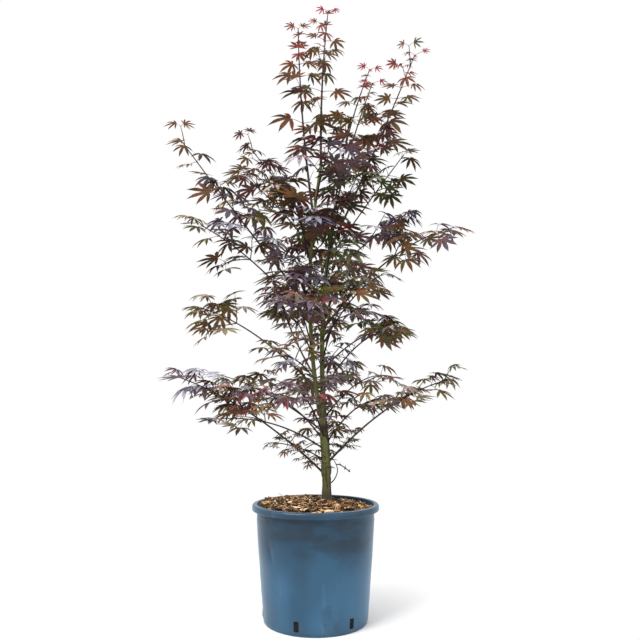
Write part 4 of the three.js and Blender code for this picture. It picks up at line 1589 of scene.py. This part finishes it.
    def build(self, joints: dict[str, list[float]]) -> None:
        """Makes all of it.

        Args:
            joints: Shares at which each limb bears pairs, by limb name.
        """
        self._trunk()
        buds = [0.1 * k + 0.04 for k in range(self.buds)]
        stems = (("left_stem", self.left_bark, 0.18), ("right_stem", self.right_bark, 0.2))
        for name, bark, rough in stems:
            self._joined(f"{name}_wood", bark, [(name, -0.02, 1, 22, 2.6, rough, buds)], [name])
        boughs, shoots = [], []
        for limb in LIMBS:
            if limb.bough:
                knots = (0.3 * limb.leafy, 0.7 * limb.leafy)
                boughs.append((limb.name, 0, limb.leafy, 12, 3.2, 0.14, knots, self.collar))
            start = limb.leafy - 0.01 if limb.bough else 0.0
            collar = 0.0 if limb.bough else self.collar
            knots = [share for share in joints[limb.name] if share > start]
            shoots.append((limb.name, start, 1, 10, 3.6, 0.07, knots, collar))
        nodes = [f"{limb.name}_bough" for limb in LIMBS if limb.bough]
        self._joined("bough_wood", self.bough_bark, boughs, nodes)
        self._joined("leafy_shoots", self.shoot_bark, shoots, [limb.mass for limb in LIMBS])
        self._stubs()
        self._dead()


# ------------------------------------------------------------
# Leaves


@dataclass(frozen=True)
class LeafShape:
    """A leaf cut into pointed lobes, drawn at a length of 1 with its hub at the origin.

    lobes are pairs of degrees off the middle lobe and length. width is a lobe's half width, notch the
    place where lobes part and sharp how slender the tips are. curl is how far, in radians, a lobe bends
    down to its tip, and fold the slope of its two halves up from the midrib.
    """

    lobes: tuple[tuple[float, float], ...]
    width: float
    notch: float
    curl: float
    fold: float
    sharp: float = 1.4
    teeth: float = 0.04
    widest: float = 0.42
    stations: tuple[float, ...] = (0.0, 0.12, 0.26, 0.4, 0.5, 0.6, 0.7, 0.8, 0.9)

    least_curl: float = 1e-3
    outer_gap: float = 34.0
    outer_reach: float = 0.42

    def _bent(self, angle: float, run: float, aside: float, curl: float) -> Array:
        """A point of a lobe in space.

        Args:
            angle: The lobe's direction in radians.
            run: Distance from the hub along the midrib.
            aside: Distance off the midrib.
            curl: How far the lobe bends down over a length of 1.

        Returns:
            The point.
        """
        bend = max(curl, self.least_curl)
        out = math.sin(bend * run) / bend
        drop = (1 - math.cos(bend * run)) / bend
        rise = abs(aside) * self.fold
        x = out * math.cos(angle) - aside * math.sin(angle)
        y = out * math.sin(angle) + aside * math.cos(angle)
        return np.array([x, y, rise * math.cos(bend * run) - drop])

    def faces(self) -> tuple[Array, Array]:
        """Works out one sheet of the leaf.

        Returns:
            Its points and its triangles, facing up.
        """
        points: list[Array] = []
        triangles: list[tuple[int, int, int]] = []
        last = len(self.lobes) - 1
        for number, (degrees, length) in enumerate(self.lobes):
            angle = math.radians(degrees)
            curl = self.curl / max(length, 0.5)
            for hand in (-1, 1):
                edge = number + hand
                if 0 <= edge <= last:
                    gap = abs(self.lobes[edge][0] - degrees) / 2
                    reach = self.notch * (length + self.lobes[edge][1]) / 2
                else:
                    gap, reach = self.outer_gap, self.notch * self.outer_reach
                root = reach * math.cos(math.radians(gap))
                base = reach * math.sin(math.radians(gap))
                start = len(points)
                points.append(np.zeros(3))
                rim, rib = [], []
                for step, share in enumerate(self.stations):
                    run = lerp(root, length, share)
                    wide = self.width * length
                    if share < self.widest:
                        half = lerp(base, wide, math.sin(share / self.widest * math.pi / 2))
                    else:
                        taper = (share - self.widest) / (1 - self.widest)
                        half = wide * math.cos(taper * math.pi / 2) ** self.sharp
                    if 0 < share:
                        half *= 1 + self.teeth * (1 if step % 2 else -1)
                    rib.append(len(points))
                    points.append(self._bent(angle, run, 0, curl))
                    rim.append(len(points))
                    points.append(self._bent(angle, run, hand * half, curl))
                tip = len(points)
                points.append(self._bent(angle, length, 0, curl))
                rows = [(start, rib[0], rim[0])]
                for k in range(len(rib) - 1):
                    rows += [(rib[k], rib[k + 1], rim[k]), (rib[k + 1], rim[k + 1], rim[k])]
                rows.append((rib[-1], tip, rim[-1]))
                triangles += rows if hand > 0 else [(a, c, b) for a, b, c in rows]
        return np.array(points), np.array(triangles)


def hand_of(count: int, spread: float, shrink: float) -> tuple[tuple[float, float], ...]:
    """The lobes of a leaf, set evenly about the middle one.

    Args:
        count: How many lobes.
        spread: Degrees from one lobe to the next.
        shrink: How much shorter the next lobe is, as a share.

    Returns:
        Pairs of degrees and length.
    """
    half = count // 2
    steps = range(-half, half + 1)
    shortest, falling = 0.34, 1.7
    return tuple((k * spread, max(shortest, 1 - shrink * abs(k) ** falling)) for k in steps)


class LeafKind(Enum):
    """The shapes that leaves take as they age."""

    OPEN = (
        LeafShape(hand_of(7, 36, 0.06), 0.106, 0.25, 0.35, 0.3),
        LeafShape(hand_of(7, 38, 0.07), 0.0986, 0.23, 0.6, 0.42),
        LeafShape(hand_of(7, 34, 0.065), 0.111, 0.26, 0.15, 0.22),
        LeafShape(hand_of(5, 42, 0.08), 0.114, 0.25, 0.5, 0.34),
        LeafShape(hand_of(7, 35, 0.075), 0.0986, 0.22, 0.8, 0.5),
    )
    YOUNG = (
        LeafShape(hand_of(5, 38, 0.09), 0.0924, 0.22, 0.3, 0.4, 1.1),
        LeafShape(hand_of(7, 33, 0.07), 0.088, 0.22, 0.15, 0.5, 1.1),
        LeafShape(hand_of(5, 42, 0.1), 0.0968, 0.23, 0.6, 0.35, 1.1),
    )


@dataclass(frozen=True)
class Tint:
    """A leaf's colours: its upper face, what that turns to in places, and its underside, partly its own
    colour and partly a painted glow, lighter and warmer, of light shining through.
    """

    upper: Colour
    flush: Colour
    under: Colour
    roughness: float = 0.36
    shine: float = 0.5
    bloom: float = 0.5


class LeafTint(Enum):
    """The tints of the plant's leaves, from the youngest to the most shaded; the pale lilac-grey upper
    face is painted sheen.
    """

    CRIMSON = Tint(paint(232, 76, 118), paint(200, 84, 96), paint(230, 84, 116))
    SCARLET = Tint(paint(192, 84, 88), paint(158, 98, 84), paint(194, 94, 76))
    RUST = Tint(paint(170, 100, 86), paint(138, 106, 78), paint(180, 106, 70))
    BRONZE = Tint(paint(146, 100, 82), paint(122, 112, 72), paint(156, 104, 60))
    MAROON = Tint(paint(118, 48, 60), paint(82, 60, 58), paint(134, 54, 36))
    # partly painted sheen: the plum upper face is greyed and lightened toward the sky's reflection
    PLUM = Tint(paint(118, 102, 120), paint(100, 66, 74), paint(118, 66, 52), 0.26, 1.0, 1.0)
    # painted sheen: the pale lilac-grey upper face stands for the white sky's reflection on the glossy
    # leaf
    LILAC = Tint(paint(150, 146, 164), paint(122, 112, 134), paint(140, 102, 98), 0.24, 1.0, 1.0)
    UMBER = Tint(paint(68, 52, 48), paint(72, 70, 46), paint(104, 62, 32))
    OLIVE = Tint(paint(112, 114, 60), paint(136, 92, 60), paint(128, 126, 46))
    MOSS = Tint(paint(78, 96, 58), paint(94, 80, 48), paint(92, 112, 44))


@dataclass(frozen=True)
class Habit:
    """How a limb sets its pairs, and how age and size change along it.

    turn is how far each pair is turned from the one before and lean the range of degrees that its leaves
    stand off the limb. youth is how much younger the tip is, sizes the first and the last pair's sizes,
    ease how late both change, end the size of the very last leaf and droop how far leaves hang.
    """

    turn: float
    lean: tuple[float, float]
    youth: float
    sizes: tuple[float, float]
    ease: float
    end: float
    droop: float


LEADER = Habit(90, (62, 84), 0.8, (0.97, 0.36), 2.6, 0.16, 0.2)
CLIMBER = Habit(75, (54, 74), 0.6, (1.06, 0.7), 1.3, 0.4, 0.7)
SPREADING = Habit(60, (46, 66), 0.35, (1.06, 0.86), 1, 0.8, 1)


def habit_at(rise: float) -> Habit:
    """The habit of a limb by its rise, which is 1 straight up and 0 level."""
    upright, steep = 0.89, 0.8
    return LEADER if rise > upright else CLIMBER if rise > steep else SPREADING


@dataclass(frozen=True)
class Sprig:
    """What the leaves of one spray share: their limb, tint, size, age and how far they droop."""

    limb: Limb | None
    tint: LeafTint
    size: float
    age: float
    droop: float = 1.0


@dataclass(frozen=True)
class PlacedLeaf:
    """A leaf in place: its shape's number, its hub, its axes as columns and its length."""

    shape: int
    hub: Array
    axes: Array
    size: float

    def points(self, flat: Array) -> Array:
        """The points of its shape, in place."""
        return self.hub + (flat * self.size) @ self.axes.T


def mixed(**chances: int) -> dict[LeafTint, int]:
    """The chance of each tint in a mix, by the tints' names."""
    return {LeafTint[name.upper()]: chance for name, chance in chances.items()}


class Tone(Enum):
    """Mixes of tints."""

    TIP = mixed(crimson=1)
    FLUSH = mixed(scarlet=4, rust=5, bronze=1)
    WARM = mixed(rust=4, bronze=6, umber=2, olive=2, plum=1)
    RIPE = mixed(bronze=4, umber=4, maroon=2, olive=2, plum=1)
    DUSK = mixed(umber=5, maroon=4, plum=5, bronze=2, lilac=4, moss=1)
    SHADE = mixed(umber=7, maroon=3, moss=3, plum=1)
    EARTH = mixed(bronze=4, umber=3, olive=5, plum=2, lilac=2)
    GREEN = mixed(olive=7, moss=2, umber=1, bronze=3, lilac=2)
    # painted sheen: mostly the pale lilac-grey and greyed plum tints, for limbs where the sky's
    # reflection shows
    SHEEN = mixed(lilac=6, plum=5, maroon=2, bronze=2, umber=1)
    SILVERED = mixed(rust=3, bronze=5, olive=2, umber=2, lilac=3)
    LOW = mixed(lilac=3, plum=4, olive=4, bronze=4, umber=3, maroon=2)

    def pick(self, draw: Draws) -> LeafTint:
        """Picks a tint by its chance.

        Args:
            draw: Where the choice comes from.

        Returns:
            The tint.
        """
        chances = self.value
        left = draw(0, sum(chances.values()))
        for tint, chance in chances.items():
            left -= chance
            if left <= 0:
                return tint
        return tint


class Palette:
    """Deals tints to sprays, by their limb, by how old they are and by how high they stand."""

    BY_AGE = ((0.3, Tone.TIP), (0.56, Tone.FLUSH), (2.0, Tone.WARM))
    BY_HEIGHT = (
        (440, Tone.RIPE), (600, Tone.LOW), (720, Tone.GREEN), (860, Tone.EARTH), (3000, Tone.DUSK),
    )
    LIMBS_OF = {
        Tone.SHEEN: ("front_high", "front_middle", "front_low", "left_low"),
        Tone.LOW: ("left_skirt", "front_inner"),
        Tone.WARM: ("left_high",),
        Tone.SILVERED: ("left_long", "right_long"),
        Tone.EARTH: ("left_upper", "left_shoulder", "left_inner"),
        Tone.GREEN: ("left_middle", "right_low", "right_middle", "right_drop", "right_shoulder"),
        Tone.DUSK: ("right_upper",),
        Tone.SHADE: ("crown_right", "front_upper", "crown_back"),
        Tone.RIPE: ("foot_spray",),
    }
    BY_LIMB = {name: tone for tone, names in LIMBS_OF.items() for name in names}

    def deal(self, limb: Limb | None, age: float, height: float, draw: Draws) -> LeafTint:
        """Deals a tint to a spray.

        Args:
            limb: Its limb, or None on a stem.
            age: Its age, from 0 to 1.
            height: Its height, in millimetres.
            draw: Where the choice comes from.

        Returns:
            The tint.
        """
        if limb and limb.leads:
            tone = next(tone for limit, tone in self.BY_AGE if age < limit)
            if tone is Tone.TIP and limb.name == "left_leader":
                tone = Tone.FLUSH
            return tone.pick(draw)
        if limb and limb.name in self.BY_LIMB:
            return self.BY_LIMB[limb.name].pick(draw)
        return next(tone for limit, tone in self.BY_HEIGHT if height < limit).pick(draw)


@dataclass(frozen=True)
class Spurs:
    """Short leafy twigs along a stem, between two heights."""

    stem: str
    low: float
    high: float
    step: float
    leaf: tuple[float, float]
    length: tuple[float, float]


class Crown:
    """The plant's twigs and leaves, grown limb by limb.

    TWIST is how far a pair may stray from its turn, SWING, DROOP and ROLL how far a leaf may turn, hang
    and tilt, in degrees, and SAG how far its stalk gives way. SLACK is how far a leaf may reach into the
    space of another limb. LEAF_ROOM and WOOD_ROOM are the least distances from a leaf's hub to the next
    hub and to the wood, and SKIN is the leaf's thickness. AXIL is the chance of a side twig at the foot
    and at the tip of a limb, and LIFT how far such a twig turns up.
    """

    TWIST = 20
    LAST_PAIR = 0.97
    STALK = (20, 40)
    SIZE = 0.88
    SIZES = (0.86, 1.12)
    SWING = 24
    DROOP = (-10, 30)
    ROLL = 24
    SAG = 0.1
    SLACK = 30
    LEAF_ROOM = 14
    WOOD_ROOM = 11
    SKIN = 0.3
    AXIL = (0.62, 0.2)
    AXIL_LEAD = (0.06, 0.04)
    LIFT = 0.22
    UPRIGHT = 0.45
    LEVEL = 0.05
    YOUNG_AGE = 0.5
    NODE_TURN = 66
    SPUR_TURN = 137.5
    EXTRA_KEY, AXIL_KEY, SPRAY_KEY = 17, 9, 5
    EXTRA_TURN, EXTRA_SIZE = 90, 0.86
    CHANGE_TINT = 0.6
    STALK_GIRTHS = (0.95, 0.66, 0.6, 0.58, 0.58, 0.72)
    YOUNG = (LeafTint.CRIMSON, LeafTint.SCARLET, LeafTint.RUST)
    SHADED = (LeafTint.LILAC, LeafTint.OLIVE, LeafTint.MOSS)
    RED_STALKED = (*YOUNG, LeafTint.MAROON, LeafTint.PLUM)
    WOOD = ("trunk", "left_stem", "right_stem")
    SPURS = (
        Spurs("trunk", 402, 520, 24, (26, 34), (16, 34)),
        Spurs("trunk", 432, 520, 20, (34, 44), (26, 50)),
        Spurs("left_low", 362, 425, 14, (22, 30), (8, 20)),
        Spurs("right_low", 392, 440, 22, (24, 32), (8, 20)),
        Spurs("left_stem", 535, 700, 52, (46, 58), (44, 84)),
        Spurs("right_stem", 535, 700, 62, (46, 58), (44, 84)),
        Spurs("left_stem", 700, 960, 32, (54, 66), (52, 96)),
        Spurs("right_stem", 700, 930, 32, (54, 66), (52, 96)),
        Spurs("right_leader", 1060, 1190, 52, (42, 52), (18, 44)),
    )

    def __init__(self, skeleton: Skeleton, box: tuple[Array, Array]) -> None:
        """Sets out the space that the crown may fill.

        Args:
            skeleton: The limbs' lines.
            box: Lowest and highest corner that leaves may reach.
        """
        self.skeleton = skeleton
        self.low, self.high = box
        self.palette = Palette()
        self.drawn = [shape.faces() for shape in (*LeafKind.OPEN.value, *LeafKind.YOUNG.value)]
        self.placed: dict[LeafTint, list[PlacedLeaf]] = {tint: [] for tint in LeafTint}
        self.masses: dict[LeafTint, set[str]] = {tint: set() for tint in LeafTint}
        self.twigs = Heap()
        self.stalks = {"red_stalks": Heap(), "olive_stalks": Heap()}
        self.hubs: list[Array] = []
        self.joints: dict[str, list[float]] = {}
        self.lines = {
            limb.name: skeleton[limb.name].curve.points(limb.leafy, 1, 9) for limb in LIMBS
        }
        self.wood = np.concatenate([skeleton[name].curve.points(0, 1, 50) for name in self.WOOD])

    @staticmethod
    def _nearest(points: Array, hub: Array) -> float:
        """The distance from a hub to the nearest of some points."""
        return float(np.min(np.linalg.norm(points - hub, axis=1)))

    def _pair_aim(self, along: Array, turn: float, lean: float) -> Array:
        """The direction of one of a pair.

        Args:
            along: The direction of the limb.
            turn: Degrees about it.
            lean: Degrees off it.

        Returns:
            The direction.
        """
        side = np.cross(along, UP)
        side = AXES[0] if np.linalg.norm(side) < self.UPRIGHT else unit(side)
        over = np.cross(side, along)
        lean, turn = math.radians(lean), math.radians(turn)
        return along * math.cos(lean) + math.sin(lean) * (side * math.cos(turn) + over * math.sin(turn))

    def _fits(self, limb: Limb | None, leaf: PlacedLeaf) -> bool:
        """Whether a leaf has room where it would hang.

        Args:
            limb: Its limb, if it has one.
            leaf: The leaf.

        Returns:
            True if it stays in the crown's box and its limb's own space, clear of wood and hubs.
        """
        hub, points = leaf.hub, leaf.points(self.drawn[leaf.shape][0])
        if np.any(points < self.low) or np.any(points > self.high):
            return False
        if self._nearest(self.wood, hub) < self.WOOD_ROOM:
            return False
        if self.hubs and self._nearest(np.array(self.hubs), hub) < self.LEAF_ROOM:
            return False
        if limb is None:
            return True
        rest = (self._nearest(line, hub) for name, line in self.lines.items() if name != limb.name)
        return self._nearest(self.lines[limb.name], hub) < min(rest) + self.SLACK

    def _leaf(
        self, sprig: Sprig, root: Array, aim: Array, stalk: float, draw: Draws, scale: float = 1
    ) -> None:
        """Hangs a leaf on its stalk, if it has room.

        Args:
            sprig: What it shares with its spray.
            root: Where its stalk starts.
            aim: The stalk's direction.
            stalk: The stalk's length.
            draw: Where its turn and size come from.
            scale: Its size, as a share of the spray's.
        """
        hub = root + aim * stalk - UP * (self.SAG * stalk * sprig.age)
        flat = np.array([aim[0], aim[1], 0.0])
        outward = unit(flat) if np.linalg.norm(flat) > self.LEVEL else place(draw(0, 360), 1, 0)
        outward = turned(outward, UP, draw(-self.SWING, self.SWING))
        droop = math.radians(draw(*self.DROOP) * lerp(0.3, 1, sprig.age) * sprig.droop)
        forward = outward * math.cos(droop) - UP * math.sin(droop)
        normal = outward * math.sin(droop) + UP * math.cos(droop)
        roll = self.ROLL * lerp(0.5, 1, sprig.droop)
        normal = turned(normal, forward, draw(-roll, roll))
        size = sprig.size * scale * self.SIZE * draw(*self.SIZES)
        young = sprig.age < self.YOUNG_AGE
        kind, first = (LeafKind.YOUNG, len(LeafKind.OPEN.value)) if young else (LeafKind.OPEN, 0)
        shape = first + int(draw(0, len(kind.value) - 0.01))
        leaf = PlacedLeaf(shape, hub, np.stack([forward, np.cross(normal, forward), normal], -1), size)
        if not self._fits(sprig.limb, leaf):
            return
        self.placed[sprig.tint].append(leaf)
        if sprig.limb:
            self.masses[sprig.tint].add(sprig.limb.mass)
        self.hubs.append(hub)
        line = Curve.bent(root, hub, UP * 0.05 * stalk).points(0, 1, 6)
        radii = np.array(self.STALK_GIRTHS) * (0.8 if young else 1)
        name = "red_stalks" if sprig.tint in self.RED_STALKED else "olive_stalks"
        self.stalks[name].add(*tube(line, radii, 5))

    def _spray(
        self, sprig: Sprig, root: Array, aim: Array, length: float, nodes: int, keys: tuple[int, ...]
    ) -> None:
        """Grows a side twig with pairs of leaves and one at its end.

        Args:
            sprig: What its leaves share.
            root: Where it starts.
            aim: Its direction.
            length: Its length.
            nodes: How many pairs it bears, the last of them at its end.
            keys: The seed of its draws.
        """
        draw = Draws(*keys, self.SPRAY_KEY)
        aim = unit(aim + UP * self.LIFT)
        bend = (draw(-3, 3), draw(-3, 3), draw(-0.02, 0.07) * length)
        curve = Curve.bent(root, root + aim * length, bend)
        self.twigs.add(*tube(curve.points(0, 1, 8), np.linspace(1.5, 0.75, 8), 6))
        for node in range(nodes):
            share = 1.0 if nodes == 1 else lerp(0.46, 1.0, node / (nodes - 1))
            along = curve.tangent(share)
            for hand in BOTH_HANDS:
                own = Draws(*keys, node, hand)
                turn = hand + own(-24, 24) + self.NODE_TURN * (node % 2)
                stalk = own(*self.STALK) * 0.66 * lerp(0.5, 1, sprig.age)
                aimed = self._pair_aim(along, turn, own(44, 68))
                self._leaf(sprig, curve.point(min(share, 0.98)), aimed, stalk, own, own(0.78, 1.0))
        self._leaf(sprig, curve.point(0.99), curve.tangent(1), draw(8, 16), draw, 0.82)

    def _pair(self, limb: Limb, number: int, pair: int, progress: float, between: bool = False) -> None:
        """Grows one pair of leaves, with the side twigs in their axils.

        Args:
            limb: The limb.
            number: Its number, which seeds the draws.
            pair: The pair's number.
            progress: How far along the leafy part it stands, from 0 to 1.
            between: Whether it is an extra pair, between two others.
        """
        curve = self.skeleton[limb.name].curve
        share = lerp(limb.leafy, 0.998 if limb.leads else self.LAST_PAIR, progress)
        along = curve.tangent(share)
        habit = habit_at(along[2])
        leads = habit is not SPREADING
        age = 1 - habit.youth * progress**habit.ease
        size = limb.leaf * lerp(*habit.sizes, progress**habit.ease)
        root = curve.point(share)
        self.joints[limb.name].append(share)
        first = Draws(Seed.PAIR_TINT, number, pair, int(between))
        tint = self.palette.deal(limb, age, float(root[2]), first)
        turned_by = ((limb.pairs - 1 - pair) % 2) * habit.turn
        extra_keys = (self.EXTRA_KEY,) if between else ()
        for hand in BOTH_HANDS:
            keys = (number, pair, hand, *extra_keys)
            draw = Draws(*keys)
            turn = turned_by + hand + draw(-self.TWIST, self.TWIST) + (self.EXTRA_TURN if between else 0)
            lean = draw(*habit.lean)
            aim = self._pair_aim(along, turn, lerp(lean, 66, progress**8) if habit is LEADER else lean)
            stalk = draw(*self.STALK) * lerp(0.4, 1, age)
            if draw(0, 1) < self.CHANGE_TINT:
                tint = self.palette.deal(limb, age, float(root[2]), draw)
            sprig = Sprig(limb, tint, size * (self.EXTRA_SIZE if between else 1), age, habit.droop)
            if pair == 0 and limb.twig > 0 and not between:
                self._spray(sprig, root, aim, limb.twig + 0.5 * stalk, 2, keys)
                continue
            self._leaf(sprig, root, aim, stalk, Draws(*keys, 0))
            keep = self.AXIL_LEAD if leads else self.AXIL
            if draw(0, 1) < lerp(*keep, progress) * limb.bush:
                lean = turned(aim, unit(along), draw(24, 50) * (1 if hand else -1))
                small = Sprig(limb, tint, size * 0.8, age)
                aside = unit(lean + along * 0.5)
                self._spray(small, root, aside, draw(24, 46), 1, (*keys, self.AXIL_KEY))

    def _grow(self, limb: Limb, number: int) -> None:
        """Grows one limb's leafy end.

        Args:
            limb: The limb.
            number: Its number, which seeds its draws.
        """
        curve = self.skeleton[limb.name].curve
        self.joints[limb.name] = []
        for pair in range(limb.pairs):
            self._pair(limb, number, pair, (pair + 1) / limb.pairs)
            if limb.leads and (pair + 0.5) / limb.pairs > 0.5:
                self._pair(limb, number, pair, (pair + 0.5) / limb.pairs, True)
        last = Draws(number, limb.pairs, 0)
        tint = self.palette.deal(limb, 0.2, float(curve.end[2]), Draws(Seed.END_TINT, number))
        habit = habit_at(curve.tangent(1)[2])
        sprig = Sprig(limb, tint, limb.leaf * habit.end, 0.4, 0.5)
        self._leaf(sprig, curve.point(0.99), curve.tangent(1), 16 * habit.end, last)

    def _spurs(self) -> None:
        """Grows the short leafy twigs that stand along the two stems."""
        for number, row in enumerate(self.SPURS):
            curve = self.skeleton[row.stem].curve
            for index, height in enumerate(np.arange(row.low, row.high, row.step)):
                share = curve.share_at_height(float(height))
                for hand in BOTH_HANDS:
                    draw = Draws(Seed.SPUR, number, index, hand)
                    bearing = self.SPUR_TURN * index + hand + draw(-30, 30)
                    aim = unit(place(bearing, 1, 0) + UP * draw(0.05, 0.75))
                    tint = self.palette.deal(None, 1, float(height), draw)
                    sprig = Sprig(None, tint, draw(*row.leaf), 0.95)
                    keys = (Seed.SPUR_SPRAY, number, index, hand)
                    length, nodes = draw(*row.length), int(draw(1, 2.99))
                    self._spray(sprig, curve.point(share), aim, length, nodes, keys)

    def _sheets(self, tint: LeafTint) -> None:
        """Makes the upper faces and the undersides of one tint's leaves.

        Args:
            tint: The tint.
        """
        leaves = self.placed[tint]
        if not leaves:
            return
        upper, under = Heap(), Heap()
        for leaf in leaves:
            flat, triangles = self.drawn[leaf.shape]
            points = leaf.points(flat)
            upper.add(points, triangles)
            under.add(points - leaf.axes[:, 2] * self.SKIN, triangles[:, ::-1])
        word = tint.name.lower()
        colours = tint.value
        age = "young" if tint in self.YOUNG else "shaded" if tint in self.SHADED else "mature"
        nodes = sorted(self.masses[tint])
        gloss = (colours.roughness, colours.shine, colours.bloom)
        top = LeafSkin(f"leaf_upper_{word}", colours.upper, colours.flush, *gloss)
        # the underside's tint carries a painted glow of light shining through the leaf
        low = LeafSkin(f"leaf_under_{word}", colours.under, colours.flush, 0.6, 0.2)
        settle(upper.make(f"leaves_{word}_upper"), top.make(), nodes)
        settle(under.make(f"leaves_{word}_under"), low.make(), nodes)

    def grow(self) -> None:
        """Grows every limb's leafy end and the spurs, without making meshes."""
        for number, limb in enumerate(LIMBS):
            self._grow(limb, number)
        self._spurs()

    def build(self) -> None:
        """Makes the leaves, their stalks and the side twigs."""
        for tint in LeafTint:
            self._sheets(tint)
        colours = paint(84, 66, 58), paint(58, 40, 40), paint(76, 62, 48)
        twig_bark = Bark("twig_bark", *colours, 0.5, 0.4, 0.1)
        settle(self.twigs.make("side_twigs"), twig_bark.make())
        red = LeafSkin("stalk_red", paint(150, 66, 62), paint(120, 66, 52), 0.45)
        olive = LeafSkin("stalk_olive", paint(126, 92, 66), paint(104, 96, 54), 0.45)
        for name, skin in (("red_stalks", red), ("olive_stalks", olive)):
            settle(self.stalks[name].make(name), skin.make())
        log.info("leaves in all: %d", sum(len(leaves) for leaves in self.placed.values()))


# ------------------------------------------------------------
# Studio


@dataclass(frozen=True)
class SoftBox:
    """A soft square lamp that faces a point."""

    name: str
    place: tuple[float, float, float]
    target: tuple[float, float, float]
    side: float
    watts: float
    tint: Colour = (1.0, 1.0, 1.0)

    def build(self) -> None:
        """Makes the lamp."""
        lamp = bpy.data.lights.new(self.name, "AREA")
        lamp.shape = "SQUARE"
        lamp.size = self.side
        lamp.energy = self.watts
        lamp.color = self.tint
        holder = bpy.data.objects.new(self.name, lamp)
        bpy.context.scene.collection.objects.link(holder)
        holder.location = self.place
        toward = np.array(self.target) - np.array(self.place)
        rise = math.atan2(-float(toward[2]), math.hypot(toward[0], toward[1]))
        turn = math.atan2(float(toward[1]), float(toward[0]))
        holder.rotation_euler = (0, rise - math.pi / 2, turn)


@dataclass
class Studio:
    """A pale floor, soft light and the camera."""

    lamps: tuple[SoftBox, ...] = (
        SoftBox("key", (-1.7, -1.5, 2.9), (0, 0, 0.7), 1.8, 165),
        SoftBox("top", (0.3, 0.5, 3.4), (0, 0, 0.6), 2.4, 80),
        SoftBox("fill", (2.4, -1.6, 1.2), (0, 0, 0.5), 1.6, 16),
    )
    sky: float = 1.0
    floor_radius: float = 14.0
    floor_tint: Colour = (0.66, 0.66, 0.66)
    shadow_near: float = 0.2
    shadow_far: float = 0.75
    camera_distance: float = 1.5
    camera_height: float = 0.51
    lens: float = 35.6
    shift: tuple[float, float] = (0.0069, 0.131)
    sensor: float = 36.0
    floor_sides: int = 96
    floor_drop: float = 0.2

    def _floor(self) -> None:
        """The floor, which isn't part of the plant."""
        count = self.floor_sides
        angle = angles_round(count)
        rim = np.stack([np.cos(angle), np.sin(angle), 0 * angle], -1) * self.floor_radius * METRE
        rim[:, 2] = -self.floor_drop
        rows = np.array([[count, k, (k + 1) % count] for k in range(count)])
        heap = Heap()
        heap.add(np.concatenate([rim, [[0, 0, -self.floor_drop]]]), rows)
        floor = heap.make("floor")
        floor.data.materials.append(self._backdrop())

    def _backdrop(self) -> bpy.types.Material:
        """The floor's material, which passes into the white of the sky away from the pot.

        Returns:
            The material.
        """
        tree = Tree("pale_floor")
        where = tree.node("ShaderNodeTexCoord").outputs["Object"]
        away = tree.node("ShaderNodeVectorMath", {"operation": "LENGTH"}, {"Vector": where})
        far = Val(tree, away.outputs["Value"]).fade(self.shadow_near, self.shadow_far)
        glow = tree.node("ShaderNodeEmission", None, {"Color": (1, 1, 1), "Strength": self.sky})
        made = tree.finish(Base_Color=self.floor_tint, Roughness=0.9)
        tree.veil(far, glow.outputs["Emission"])
        return made

    def _sky(self) -> None:
        """Even white light from all round."""
        world = bpy.data.worlds.new("studio")
        world.use_nodes = True
        backdrop = world.node_tree.nodes["Background"]
        backdrop.inputs["Color"].default_value = (1, 1, 1, 1)
        backdrop.inputs["Strength"].default_value = self.sky
        bpy.context.scene.world = world
        bpy.context.scene.view_settings.view_transform = "Standard"

    def _camera(self) -> None:
        """The camera, level and square to the front."""
        lens = bpy.data.cameras.new("camera")
        lens.lens = self.lens
        lens.sensor_width = self.sensor
        lens.shift_x, lens.shift_y = self.shift
        lens.clip_start, lens.clip_end = 0.05, 60
        camera = bpy.data.objects.new("camera", lens)
        camera.location = (0, -self.camera_distance, self.camera_height)
        camera.rotation_euler = (math.pi / 2, 0, 0)
        bpy.context.scene.collection.objects.link(camera)
        bpy.context.scene.camera = camera

    def build(self) -> None:
        """Makes the floor, the light and the camera."""
        self._floor()
        self._sky()
        for lamp in self.lamps:
            lamp.build()
        self._camera()


# ------------------------------------------------------------
# Assembly


def main() -> None:
    """Builds the studio, the pot, its filling and the plant."""
    logging.basicConfig(level=logging.INFO, format="%(message)s")
    Studio().build()
    pot = Pot()
    pot.build()
    Compost(pot).build()
    skeleton = Skeleton()
    low, high = (np.array(corner) * METRE for corner in SOLID_BOX)
    inset = 1  # a millimetre inside the solids' box
    crown = Crown(skeleton, (low + inset, high - inset))
    crown.grow()
    Timber(skeleton).build(crown.joints)
    crown.build()


if __name__ == "__main__":
    main()
